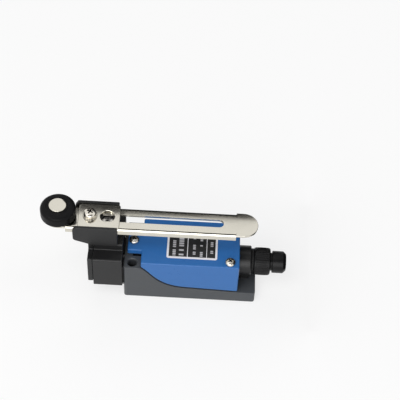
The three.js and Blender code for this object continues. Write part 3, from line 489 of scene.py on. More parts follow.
def labelMaterial(name, look, centre, size):
    material, tree, shader, place = startMaterial(name)
    local = addNode(tree, "ShaderNodeMapping", {
        "Vector": place, "Location": (-centre.x, -centre.y, 0.0), "Scale": (1 / mm,) * 3})
    split = addNode(tree, "ShaderNodeSeparateXYZ", {0: local.outputs[0]})
    x, y = split.outputs["X"], split.outputs["Y"]

    def inside(value, low, high):
        return times(tree, mathNode(tree, "GREATER_THAN", value, low),
                        mathNode(tree, "LESS_THAN", value, high))

    edge = look["border"]
    field = times(tree, inside(x, -size.x / 2 + edge, size.x / 2 - edge),
                     inside(y, -size.y / 2 + edge, size.y / 2 - edge))
    marks = None
    for ruleX, low, high, width in look["rules"]:
        rule = times(tree, inside(x, ruleX - width / 2, ruleX + width / 2), inside(y, low, high))
        marks = rule if marks is None else mathNode(tree, "MAXIMUM", marks, rule)
    for index, (rowX, height) in enumerate(look["rows"]):
        step = mathNode(tree, "FLOOR", mathNode(tree, "DIVIDE", y, look["dash"] * (0.7 + height * 0.35)))
        seed = plus(tree, step, 37.0 * (index + 1))
        chance = addNode(tree, "ShaderNodeTexWhiteNoise", {"W": seed}, noise_dimensions="1D")
        part = mathNode(tree, "FRACT", mathNode(tree, "DIVIDE", y, look["dash"] * (0.7 + height * 0.35)))
        dash = times(tree, mathNode(tree, "GREATER_THAN", chance.outputs["Value"], 0.32),
                        inside(part, 0.14, 0.86))
        row = times(tree, inside(x, rowX - height / 2, rowX + height / 2), dash)
        row = times(tree, row, inside(y, -8.2, 8.2))
        marks = mathNode(tree, "MAXIMUM", marks, times(tree, row, 0.62))
    grain = placeGroup(tree, grainGroup, Vector=place, Scale=4000.0, Strength=0.05, Distance=0.00002)
    patches = placeGroup(tree, smudgeGroup, Vector=place, Scale=90.0, Low=0.26, High=0.4)
    dark = mixColour(tree, patches.outputs["Patch"], look["ink"], (0.022, 0.022, 0.023))
    printed = mixColour(tree, marks, dark, look["pale"])
    tone = mixColour(tree, field, look["pale"], printed)
    tree.links.new(tone, shader.inputs["Base Color"])
    tree.links.new(patches.outputs["Value"], shader.inputs["Roughness"])
    tree.links.new(grain.outputs["Normal"], shader.inputs["Normal"])
    return material


labelLow, labelHigh = boxOf("label_plate")
finishes["labelFilm"] = labelMaterial("labelFilm", labelPrint, (labelLow + labelHigh) / 2,
    labelHigh - labelLow)
print("materials made:", len(finishes))


# mesh helpers, in millimetres
def newObject(name, build):
    bmesh.ops.remove_doubles(build, verts=build.verts, dist=1e-4)
    bmesh.ops.recalc_face_normals(build, faces=build.faces)
    mesh = bpy.data.meshes.new(name)
    build.to_mesh(mesh)
    build.free()
    piece = bpy.data.objects.new(name, mesh)
    scene.collection.objects.link(piece)
    return piece


def roundedPath(points, steps=6):  # corners (a, b, radius) as a closed outline with true arcs
    path = []
    count = len(points)
    for i, (a, b, radius) in enumerate(points):
        corner = Vector((a, b))
        if radius <= 0:
            path.append((a, b))
            continue
        before = Vector(points[i - 1][:2]) - corner
        after = Vector(points[(i + 1) % count][:2]) - corner
        half = before.angle(after) / 2
        reach = radius / math.tan(half)
        centre = corner + (before.normalized() + after.normalized()).normalized() * (radius / math.sin(half))
        first = corner + before.normalized() * reach - centre
        last = corner + after.normalized() * reach - centre
        swing = first.angle_signed(last)
        for step in range(steps + 1):
            turn = -swing * step / steps
            path.append((centre.x + first.x * math.cos(turn) - first.y * math.sin(turn),
                         centre.y + first.x * math.sin(turn) + first.y * math.cos(turn)))
    return path


planes = {
    "XY": lambda a, b, c: (a, b, c),
    "XZ": lambda a, b, c: (a, c, b),
    "YZ": lambda a, b, c: (c, a, b),
}


def prism(name, outline, plane, start, end):  # an outline carried straight across its plane
    build = bmesh.new()
    place = planes[plane]
    low = [build.verts.new(place(a, b, start)) for a, b in outline]
    high = [build.verts.new(place(a, b, end)) for a, b in outline]
    build.faces.new(low)
    build.faces.new(high)
    for i in range(len(outline)):
        j = (i + 1) % len(outline)
        build.faces.new((low[i], low[j], high[j], high[i]))
    return newObject(name, build)


def block(name, low, high):
    outline = [(low[0], low[1]), (high[0], low[1]), (high[0], high[1]), (low[0], high[1])]
    return prism(name, outline, "XY", low[2], high[2])


def lathe(name, profile, axis, centre, steps=72):  # (radius, height) points turned round Z or X
    build = bmesh.new()
    ring = profile[0] == profile[-1]
    points = profile[:-1] if ring else profile
    rows = []
    for radius, height in points:
        if radius < 1e-6:
            rows.append([build.verts.new((0, 0, height))])
            continue
        rows.append([
            build.verts.new((radius * math.cos(2 * math.pi * i / steps),
                radius * math.sin(2 * math.pi * i / steps),
                             height))
            for i in range(steps)
        ])
    pairs = list(zip(rows, rows[1:])) + ([(rows[-1], rows[0])] if ring else [])
    for lower, upper in pairs:
        for i in range(steps):
            j = (i + 1) % steps
            corners = [lower[i % len(lower)], lower[j % len(lower)], upper[j % len(upper)],
                upper[i % len(upper)]]
            face = list(dict.fromkeys(corners))
            if len(face) > 2:
                build.faces.new(face)
    turn = Matrix.Rotation(math.pi / 2, 4, "Y") if axis == "X" else Matrix.Identity(4)
    bmesh.ops.transform(build, matrix=Matrix.Translation(centre) @ turn, verts=build.verts)
    return newObject(name, build)


def settle(piece):  # the modifiers' result becomes the mesh
    bpy.context.view_layer.update()
    shape = piece.evaluated_get(bpy.context.evaluated_depsgraph_get())
    mesh = bpy.data.meshes.new_from_object(shape)
    piece.modifiers.clear()
    piece.data = mesh
    return piece


def combine(piece, tool, operation):
    modifier = piece.modifiers.new("combine", "BOOLEAN")
    modifier.operation, modifier.object, modifier.solver = operation, tool, "EXACT"
    settle(piece)
    bpy.data.objects.remove(tool)
    return piece


def cut(piece, *tools):
    for tool in tools:
        combine(piece, tool, "DIFFERENCE")
    return piece


def join(piece, *others):
    for other in others:
        combine(piece, other, "UNION")
    return piece


def soften(piece, width, steps=3, angle=40):
    modifier = piece.modifiers.new("soften", "BEVEL")
    modifier.width, modifier.segments = width, steps
    modifier.limit_method, modifier.angle_limit = "ANGLE", math.radians(angle)
    modifier.miter_outer = "MITER_ARC"
    return settle(piece)


def finishPiece(piece, material, body, slotName, *nodes, smooth=34):
    build = bmesh.new()
    build.from_mesh(piece.data)
    bmesh.ops.remove_doubles(build, verts=build.verts, dist=2e-4)
    bmesh.ops.dissolve_degenerate(build, edges=build.edges, dist=1e-4)
    build.to_mesh(piece.data)
    build.free()
    piece.data.transform(Matrix.Scale(mm, 4))
    piece.data.shade_smooth()
    piece.data.set_sharp_from_angle(angle=math.radians(smooth))
    modifier = piece.modifiers.new("normals", "WEIGHTED_NORMAL")
    modifier.keep_sharp = True
    settle(piece)
    piece.data.materials.clear()
    piece.data.materials.append(finishes[material])
    placePiece(piece, body, slotName, *nodes)
    return piece


def placePiece(piece, body, slotName, *nodes):
    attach(piece, body)
    if nodes:
        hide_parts(*nodes)


# the parting line between base and cover
baseLow, baseHigh = boxOf("base_housing")
coverLow, coverHigh = boxOf("front_cover")
parting = {
    "pillarEnd": baseLow.x + 8.0,
    "pillarTop": 22.7,
    "shoulder": 5.5,
    "dip": 3.2,
    "lean": 1.5,
    "settle": 0.6,
    "slopeEnd": 22.0,
    "low": 8.2,
    "rim": 7.0,
    "steps": 40,
}


def partingLine(line, lift, fromX, toX):  # from the head end to the gland end, as (x, z)
    start = Vector((line["pillarEnd"], line["pillarTop"]))
    first = Vector((line["pillarEnd"] + line["shoulder"], line["pillarTop"] - line["dip"]))
    second = Vector((line["pillarEnd"] + line["shoulder"] + line["lean"], line["low"] + line["settle"]))
    end = Vector((line["pillarEnd"] + line["slopeEnd"], line["low"]))
    points = [(fromX, line["pillarTop"] + lift)]
    for i in range(line["steps"] + 1):
        t = i / line["steps"]
        spot = start * (1 - t) ** 3 + first * 3 * t * (1 - t) ** 2 + second * 3 * t * t * (1 - t) + end * t ** 3
        points.append((spot.x, spot.y + lift))
    points.append((coverHigh.x, line["rim"] + lift))
    points.append((toX, line["rim"] + lift))
    return points


def belowParting(line, lift, fromX, toX, bottom):
    return partingLine(line, lift, fromX, toX) + [(toX, bottom), (fromX, bottom)]


# base casting
base = {
    "edge": 0.35,
    "corner": 1.6,
    "floor": 3.0,
    "wall": 2.0,
    "holes": [(-28.0, -10.5), (-28.0, 10.5), (28.0, 10.5)],
    "holeRadius": 2.2,
    "sink": 0.45,  # chamfer at the mouth of a hole
    "bossAxis": middleOf("gland_nut").z,
    "bossRadius": 7.4,
    "bossEnd": 29.3,
    "bossStart": 18.2,
    "bossBore": 4.7,
    "shadedBossFrom": 21.55,  # beyond this and above the ledge the casting takes the black finish: painted shade for the shadow on the boss end
    "bossLow": 7.02,
    "lip": 12.0,
    "lipTop": 24.2,
    "foot": 5.0,
    "backRecess": 0.5,
    "length": 64.0,
    "pillarWidth": 7.5,
    "room": (-22.0, -28.0),  # where the room and the neck between the pillars start
    "above": 40.0,  # beyond everything, for cutters
    "recessFrom": -21.0,
    "recessTo": 22.0,
    "recessSide": 9.5,
    "recessCorner": 2.0,
}


def sinkHole(x, y, radius, low, high, mouth):  # a bore with a chamfered mouth at both ends
    profile = [(0, low - 1), (radius + mouth, low - 1), (radius + mouth, low), (radius, low + mouth),
               (radius, high - mouth), (radius + mouth, high), (radius + mouth, high + 1), (0, high + 1)]
    return lathe("hole", profile, "Z", (x, y, 0), 40)


def makeBase(spec):
    side = baseHigh.y
    outline = belowParting(parting, 0, baseLow.x, baseLow.x + spec["length"], 0)
    piece = prism("baseHousing", outline, "XZ", -side, side)
    soften(piece, spec["edge"])
    wide = 0.02
    end = baseLow.x + spec["length"] + wide
    corners = [(baseLow.x - wide, -side - wide), (end, -side - wide), (end, side + wide),
               (baseLow.x - wide, side + wide)]
    shell = prism("shell", roundedPath([(x, y, spec["corner"]) for x, y in corners], 8), "XY", -1,
        spec["above"])
    combine(piece, shell, "INTERSECT")
    inner = side - spec["wall"]
    neck = side - spec["pillarWidth"] + 0.1
    cut(piece,
        block("room", (spec["room"][0], -inner, spec["floor"]), (spec["bossStart"], inner, spec["above"])),
        block("neck", (spec["room"][1], -neck, spec["floor"]), (spec["room"][0] + 1, neck, spec["above"])))
    drum = lathe("drum", roundedPath([
        (0, spec["bossStart"], 0), (spec["bossRadius"], spec["bossStart"], 0),
        (spec["bossRadius"], spec["bossEnd"], 0.7), (0, spec["bossEnd"], 0)], 5), "X", (0, 0,
        spec["bossAxis"]), 80)
    wall = block("wall", (spec["bossStart"], -spec["lip"], 6), (spec["bossStart"] + 3.4, spec["lip"],
        spec["lipTop"]))
    foot = block("foot", (spec["bossStart"] + 0.01, -spec["foot"], 6), (28.5, spec["foot"], spec["bossAxis"]))
    join(piece, soften(wall, 0.3), soften(foot, 0.3), drum)
    for x, y in spec["holes"]:
        top = parting["pillarTop"] if x < 0 else parting["rim"]
        cut(piece, sinkHole(x, y, spec["holeRadius"], 0, top, spec["sink"]))
    cut(piece, lathe("bore", [(0, spec["bossStart"] - 1), (spec["bossBore"], spec["bossStart"] - 1),
                              (spec["bossBore"], spec["bossEnd"] + 1), (0, spec["bossEnd"] + 1)], "X",
                     (0, 0, spec["bossAxis"]), 56))
    left, right, far, radius = (spec[key] for key in ("recessFrom", "recessTo", "recessSide", "recessCorner"))
    outline = [(left, -far, radius), (right, -far, radius), (right, far, radius), (left, far, radius)]
    recess = prism("recess", roundedPath(outline), "XY", -1, spec["backRecess"])
    cut(piece, recess)
    finishPiece(piece, "castGrey", "switch_body", "cast_base", "base_housing")
    # painted shade: faces past the boss face and above the ledge take the black finish, for the shadow on the
    # boss end
    piece.data.materials.append(finishes["blackCast"])
    for face in piece.data.polygons:
        if face.center.x > spec["shadedBossFrom"] * mm and face.center.z > spec["bossLow"] * mm:
            face.material_index = 1


makeBase(base)
print("base made")


# front cover, its seal and label
cover = {
    "edge": 0.55,
    "lift": 0.95,  # the seal's visible height
    "stemWidth": 11.8,
    "start": -23.7,
    "wall": 1.4,
    "front": 2.0,
    "doorway": 7.7,
}
seal = {"low": 0.03, "high": 0.9, "inset": 0.45, "width": 0.9}


def coverOutline(inset, radius):
    side, narrow = coverHigh.y - inset, cover["stemWidth"] / 2 - inset
    corners = [(coverLow.x + inset, -narrow), (cover["start"] + inset, -narrow), (cover["start"] + inset,
        -side),
               (coverHigh.x - inset, -side), (coverHigh.x - inset, side), (cover["start"] + inset, side),
               (cover["start"] + inset, narrow), (coverLow.x + inset, narrow)]
    return roundedPath([(x, y, radius) for x, y in corners], 6)


def makeCover(spec):
    piece = prism("frontCover", coverOutline(0, 0.8), "XY", 0, coverHigh.z)
    soften(piece, spec["edge"], 4)
    below = prism("below", belowParting(parting, spec["lift"], -40, 40, -5), "XZ", -30, 30)
    inner = coverHigh.y - spec["wall"]
    room = block("room", (spec["start"] + spec["wall"], -inner, -5),
                 (coverHigh.x - spec["wall"], inner, coverHigh.z - spec["front"]))
    door = prism("door", [(-spec["doorway"], -5), (spec["doorway"], -5), (spec["doorway"],
        base["bossAxis"])] + [
        (spec["doorway"] * math.cos(math.pi * i / 32),
        base["bossAxis"] + spec["doorway"] * math.sin(math.pi * i / 32))
        for i in range(1, 32)] + [(-spec["doorway"], base["bossAxis"])], "YZ", 20, 26)
    cut(piece, below, room, door)
    finishPiece(piece, "bluePaint", "switch_body", "blue_cover", "front_cover")


def makeSeal(spec):
    piece = prism("partingSeal", coverOutline(spec["inset"], 0.6), "XY", 0, 30)
    cut(piece, prism("hollow", coverOutline(spec["inset"] + spec["width"], 0.3), "XY", -5, 35),
        prism("below", belowParting(parting, spec["low"], -40, 40, -5), "XZ", -30, 30),
        prism("above", partingLine(parting, spec["high"], -40, 40) + [(40, 40), (-40, 40)], "XZ", -30, 30),
        block("door", (20, -7.7, 0), (26, 7.7, 30)))
    finishPiece(piece, "rubber", "switch_body", "rubber_seal", "cover_gasket_near", "cover_gasket_far")


def makeLabel():
    corners = [(labelLow.x, labelLow.y), (labelHigh.x, labelLow.y), (labelHigh.x, labelHigh.y),
               (labelLow.x, labelHigh.y)]
    piece = prism("labelPlate", roundedPath([(x, y, 1.0) for x, y in corners], 8), "XY", labelLow.z,
        labelHigh.z)
    soften(piece, 0.08, 2)
    finishPiece(piece, "labelFilm", "switch_body", "label_film", "label_plate")


makeCover(cover)
makeSeal(seal)
makeLabel()
print("cover, seal and label made")


# head
head = {
    "corner": 0.9,
    "edge": 0.3,
    "platform": 7.4,
    "capEdge": 0.7,
    "capFoot": 8.0,
    "panelDepth": 0.35,
    "wall": 2.0,
    "room": 9.2,
    "shoulder": 27.4,
    "ceiling": 25.2,
    "footTop": 10.5,
    "bushBore": 4.42,
    "shaftBore": 3.12,
    "springBore": 3.5,
    "panel": (10.6, 11.8, 25.6, 1.2),  # half width, bottom, top and corner of the recessed panel
}


def headOutline(spec, box, footSide=None, footTop=None):
    low, high = box
    wideTop = spec["shoulder"]
    corner, narrow = spec["corner"], spec["platform"]
    corners = [(-high.y, wideTop, corner), (-narrow, wideTop, 0.5), (-narrow, high.z, corner),
               (narrow, high.z, corner), (narrow, wideTop, 0.5), (high.y, wideTop, corner)]
    if footSide:
        corners += [(high.y, footTop, corner), (footSide, footTop, 0.4), (footSide, low.z, 0.5),
                    (-footSide, low.z, 0.5), (-footSide, footTop, 0.4), (-high.y, footTop, corner)]
    else:
        corners += [(high.y, low.z, corner), (-high.y, low.z, corner)]
    return roundedPath(corners, 6)


def makeHead(spec):
    low, high = boxOf("head_housing")
    piece = prism("headHousing", headOutline(spec, (low, high)), "YZ", low.x, high.x)
    soften(piece, spec["edge"])
    shaftX = middleOf("lever_shaft").x
    cut(piece,
        block("room", (low.x - 1, -spec["room"], low.z + 3), (high.x - spec["wall"], spec["room"],
            spec["ceiling"])),
        lathe("bore", [(0, 24), (spec["bushBore"], 24), (spec["bushBore"], 34), (0, 34)], "Z", (shaftX, 0,
            0), 56),
        lathe("foot", [(0, 9.4), (spec["shaftBore"], 9.4), (spec["shaftBore"], 12), (0, 12)], "Z", (shaftX,
            0, 0), 40),
        lathe("plungerBore", [(0, high.x - 4), (spec["springBore"], high.x - 4),
                               (spec["springBore"], high.x + 1), (0, high.x + 1)], "X", (0, 0, 13.5), 40))
    finishPiece(piece, "blackCast", "switch_body", "black_cast", "head_housing")


def makeEndCap(spec):
    low, high = boxOf("head_end_cap")
    piece = prism("headEndCap", headOutline(spec, (low, high), spec["capFoot"], spec["footTop"]), "YZ",
        low.x, high.x)
    soften(piece, spec["capEdge"], 4)
    side, bottom, top, radius = spec["panel"]
    outline = [(-side, bottom, radius), (side, bottom, radius), (side, top, radius), (-side, top, radius)]
    panel = prism("panel", roundedPath(outline), "YZ", low.x - 1, low.x + spec["panelDepth"])
    cut(piece, panel)
    for index in range(1, 5):
        centre = middleOf(f"head_screw_{index}")
        profile = [(0, low.x - 1), (2.3, low.x - 1), (2.3, low.x), (1.3, low.x + 1.1), (1.3, high.x + 1),
                   (0, high.x + 1)]
        cut(piece, lathe("sink", profile, "X", (0, centre.y, centre.z), 36))
    finishPiece(piece, "blackCast", "switch_body", "black_cast", "head_end_cap")


makeHead(head)
makeEndCap(head)
print("head made")


# turning lever: hub and clamp plate
hub = {"edge": 0.45, "wall": 1.4, "armUnder": 41.3, "ribSide": 5.2, "slotFloor": 38.4, "shaftBore": 3.06}
plate = {"edge": 0.16, "corner": 1.0, "hole": 3.5}


def makeHub(spec):
    low, high = boxOf("lever_hub")
    outline = roundedPath([
        (high.x, low.z, 0.4), (high.x, high.z, 0.5), (low.x + 1.3, high.z, 0.6), (low.x, high.z - 2.2, 1.2),
        (low.x, low.z + 3.2, 1.9), (low.x + 7.3, low.z + 0.6, 0.4), (low.x + 7.3, low.z, 0)], 8)
    piece = prism("leverHub", outline, "XZ", low.y, high.y)
    soften(piece, spec["edge"])
    wall = high.y - spec["wall"]
    shaftX = middleOf("lever_shaft").x
    screwX = middleOf("clamp_screw").x
    cut(piece,
        block("trough", (low.x - 1, -wall, spec["armUnder"]), (high.x + 1, wall, high.z + 1)),
        block("slotNear", (low.x - 1, -wall, spec["slotFloor"]), (high.x + 1, -spec["ribSide"], high.z)),
        block("slotFar", (low.x - 1, spec["ribSide"], spec["slotFloor"]), (high.x + 1, wall, high.z)),
        lathe("shaftBore", [(0, 30), (spec["shaftBore"], 30), (spec["shaftBore"], 38.1), (3.0, 38.11),
            (3.0, 50),
                            (0, 50)], "Z", (shaftX, 0, 0), 48),
        lathe("screwBore", [(0, 33.4), (2.05, 33.4), (2.05, 50), (0, 50)], "Z", (screwX, 0, 0), 40))
    finishPiece(piece, "blackCast", "turning_lever", "black_cast", "lever_hub")


def makeClampPlate(spec):
    low, high = boxOf("clamp_plate")
    corners = [(low.x, low.y), (high.x, low.y), (high.x, high.y), (low.x, high.y)]
    piece = prism("clampPlate", roundedPath([(x, y, spec["corner"]) for x, y in corners], 6), "XY", low.z,
        high.z)
    soften(piece, spec["edge"])
    shaftX = middleOf("lever_shaft").x
    cut(piece, sinkHole(shaftX, 0, spec["hole"], low.z, high.z, 0.14),
        sinkHole(middleOf("clamp_screw").x, 0, 2.25, low.z, high.z, 0.1))
    finishPiece(piece, "nickelPlate", "turning_lever", "nickel_plate", "clamp_plate")


makeHub(hub)
makeClampPlate(plate)
print("hub and clamp plate made")


# sliding arm
arm = {
    "sheet": 1.1,
    "bend": 1.9,  # outer radius where the web turns into a flange
    "flangeStart": 3.8,
    "flangeEnd": 10.35,
    "slotWidth": 4.4,
    "slotFrom": -49.15,
    "slotTo": 12.5,
    "edge": 0.2,
}


def makeArm(spec):
    low, high = boxOf("lever_arm")
    side = high.y
    top, under = high.z, high.z - spec["sheet"]
    left = low.x + side  # centre of the round front end
    right = high.x - side
    start, end = left + spec["flangeStart"], high.x - spec["flangeEnd"]
    narrow = side - spec["bend"] + 0.02
    outline = []
    for i in range(25):
        turn = -math.pi / 2 + math.pi * i / 24
        outline.append((right + side * math.cos(turn), side * math.sin(turn)))
    outline += [(end, side), (end, narrow), (start, narrow), (start, side)]
    for i in range(25):
        turn = math.pi / 2 + math.pi * i / 24
        outline.append((left + side * math.cos(turn), side * math.sin(turn)))
    outline += [(start, -side), (start, -narrow), (end, -narrow), (end, -side)]
    piece = prism("leverArm", outline, "XY", under, top)
    soften(piece, spec["edge"], 3)
    outer, inner = spec["bend"], spec["bend"] - spec["sheet"]
    for sign in (-1, 1):
        centreY, centreZ = side - outer, top - outer
        bend = [(sign * (centreY - 0.5), top)]
        for i in range(13):
            turn = math.pi / 2 * i / 12
            bend.append((sign * (centreY + outer * math.sin(turn)), centreZ + outer * math.cos(turn)))
        bend += [(sign * side, low.z + 0.15), (sign * (side - 0.15), low.z),
            (sign * (side - spec["sheet"]), low.z)]
        for i in range(9):
            turn = math.pi / 2 * (1 - i / 8)
            bend.append((sign * (centreY + inner * math.sin(turn)), centreZ + inner * math.cos(turn)))
        bend.append((sign * (centreY - 0.5), under))
        flange = prism("flange", bend, "YZ", start, end)
        join(piece, flange)
    slot = []
    half = spec["slotWidth"] / 2
    for i in range(17):
        turn = -math.pi / 2 + math.pi * i / 16
        slot.append((spec["slotTo"] + half * math.cos(turn), half * math.sin(turn)))
    for i in range(17):
        turn = math.pi / 2 + math.pi * i / 16
        slot.append((spec["slotFrom"] + half * math.cos(turn), half * math.sin(turn)))
    cut(piece, prism("slot", slot, "XY", under - 1, top + 1),
        lathe("pinHole", [(0, 38), (2.53, 38), (2.53, 46), (0, 46)], "Z", (middleOf("roller_pin").x, 0, 0),
            40))
    finishPiece(piece, "nickelPlate", "sliding_arm", "nickel_plate", "lever_arm")


makeArm(arm)
print("arm made")


# roller, its pin and washers, gland: turned pieces
rollerShape = {"edge": 1.9, "lowEdge": 0.8, "groove": 0.25, "steps": 120}
pinShape = {"radius": 2.48, "head": 4.1, "headHeight": 0.9, "crown": 0.12, "edge": 0.28, "tail": 3.6,
    "neck": 41.3}


def ringProfile(points, steps=6):
    path = roundedPath(points, steps)
    return path + [path[0]]


def makeRoller(spec):
    low, high = boxOf("roller")
    centre = middleOf("roller")
    radius, bore = (high.x - low.x) / 2, pinShape["radius"] + 0.12
    profile = ringProfile([
        (bore, low.z, 0.15), (radius, low.z, spec["lowEdge"]), (radius, high.z, spec["edge"]),
        (5.6, high.z, 0.1), (5.4, high.z - spec["groove"], 0.1), (4.9, high.z - spec["groove"], 0.1),
        (4.7, high.z, 0.1), (bore, high.z, 0.15)], 8)
    piece = lathe("rollerWheel", profile, "Z", (centre.x, 0, 0), spec["steps"])
    finishPiece(piece, "rollerNylon", "roller_wheel", "roller_nylon", "roller", smooth=50)


def makePin(spec):
    low, high = boxOf("roller_pin")
    centre = middleOf("roller_pin")
    under = high.z - spec["headHeight"]
    crown = [(spec["head"] * (1 - i / 10), high.z - spec["crown"] * (1 - i / 10) ** 2) for i in range(1, 11)]
    profile = [(0, low.z), (1.2, low.z), (spec["tail"] - 0.5, low.z + 0.12), (spec["tail"], low.z + 0.5),
               (spec["tail"], spec["neck"]), (spec["radius"], spec["neck"]), (spec["radius"], under)]
    rim = roundedPath([(spec["radius"], under, 0), (spec["head"], under, 0.1),
                       (spec["head"], high.z - spec["crown"], spec["edge"]), (0, high.z - spec["crown"],
                       0)], 5)
    profile += rim[1:-1] + [point for point in crown if point[0] < spec["head"] - spec["edge"]]
    profile[-1] = (0, high.z)
    piece = lathe("rollerPin", profile, "Z", (centre.x, 0, 0), 96)
    finishPiece(piece, "nickelPlate", "sliding_arm", "nickel_plate", "roller_pin", smooth=40)


def turnedRing(name, node, axis, inner, edge, material, body, slotName, steps=72):
    low, high = boxOf(node)
    centre = (low + high) / 2
    if axis == "Z":
        outer, start, end, place = (high.x - low.x) / 2, low.z, high.z, (centre.x, centre.y, 0)
    else:
        outer, start, end, place = (high.z - low.z) / 2, low.x, high.x, (0, centre.y, centre.z)
    profile = ringProfile([(inner, start, edge), (outer, start, edge), (outer, end, edge), (inner, end,
        edge)], 4)
    piece = lathe(name, profile, axis, place, steps)
    finishPiece(piece, material, body, slotName, node, smooth=40)


def makeGland():
    axis = middleOf("gland_nut").z
    low, high = boxOf("gland_body")
    flangeStart, flangeEnd = 30.6, 38.6
    body = lathe("glandBody", ringProfile([
        (3.5, low.x, 0.2), (4.4, low.x, 0.3), (4.4, flangeStart, 0), (6.55, flangeStart, 0.6),
        (6.55, flangeEnd, 0.6), (4.4, flangeEnd, 0.1), (4.4, high.x, 0.3), (3.5, high.x, 0.2)], 5), "X",
        (0, 0, axis), 96)
    finishPiece(body, "blackPlastic", "switch_body", "black_plastic", "gland_body", smooth=40)
    low, high = boxOf("gland_nut")
    outer = (high.z - low.z) / 2
    nut = lathe("glandNut", ringProfile([
        (4.65, low.x, 0.15), (outer, low.x, 0.35), (outer, high.x - 1.4, 0.5), (outer - 1.35, high.x, 0.4),
        (3.5, high.x, 0.3), (3.5, high.x - 1.2, 0.1), (4.65, high.x - 1.2, 0.1)], 5), "X", (0, 0, axis), 96)
    finishPiece(nut, "blackPlastic", "switch_body", "black_plastic", "gland_nut", smooth=40)


makeRoller(rollerShape)
makePin(pinShape)
turnedRing("rollerWasher", "roller_washer", "Z", 2.6, 0.1, "bareSteel", "sliding_arm", "steel")
turnedRing("clampWasher", "clamp_washer", "Z", 2.25, 0.1, "screwPlate", "turning_lever", "nickel_plate")
turnedRing("glandWasher", "gland_washer", "X", 4.52, 0.2, "rubber", "switch_body", "rubber_seal")
turnedRing("cableSeal", "gland_seal", "X", 3.2, 0.3, "rubber", "switch_body", "rubber_seal")
turnedRing("shaftBush", "shaft_bush", "Z", 3.12, 0.15, "brass", "switch_body", "brass")
turnedRing("shaftSeal", "shaft_seal", "Z", 3.12, 0.1, "rubber", "switch_body", "rubber_seal")
makeGland()
print("roller, pin and gland made")


# geometry nodes: screws, grip ribs and springs
def startTree(name, inputs):
    tree = bpy.data.node_groups.new(name, "GeometryNodeTree")
    tree.interface.new_socket(name="Geometry", in_out="INPUT", socket_type="NodeSocketGeometry")
    for label, kind, value in inputs:
        socket = tree.interface.new_socket(name=label, in_out="INPUT", socket_type=kind)
        if value is not None:
            socket.default_value = value
    tree.interface.new_socket(name="Geometry", in_out="OUTPUT", socket_type="NodeSocketGeometry")
    return tree, tree.nodes.new("NodeGroupInput"), tree.nodes.new("NodeGroupOutput")


def combineXYZ(tree, x=0.0, y=0.0, z=0.0):
    return addNode(tree, "ShaderNodeCombineXYZ", {"X": x, "Y": y, "Z": z}).outputs[0]


def endTree(tree, made, geometry, material):
    real = addNode(tree, "GeometryNodeRealizeInstances", {"Geometry": geometry})
    painted = addNode(tree, "GeometryNodeSetMaterial", {"Geometry": real.outputs[0], "Material": material})
    tree.links.new(painted.outputs[0], made.inputs["Geometry"])


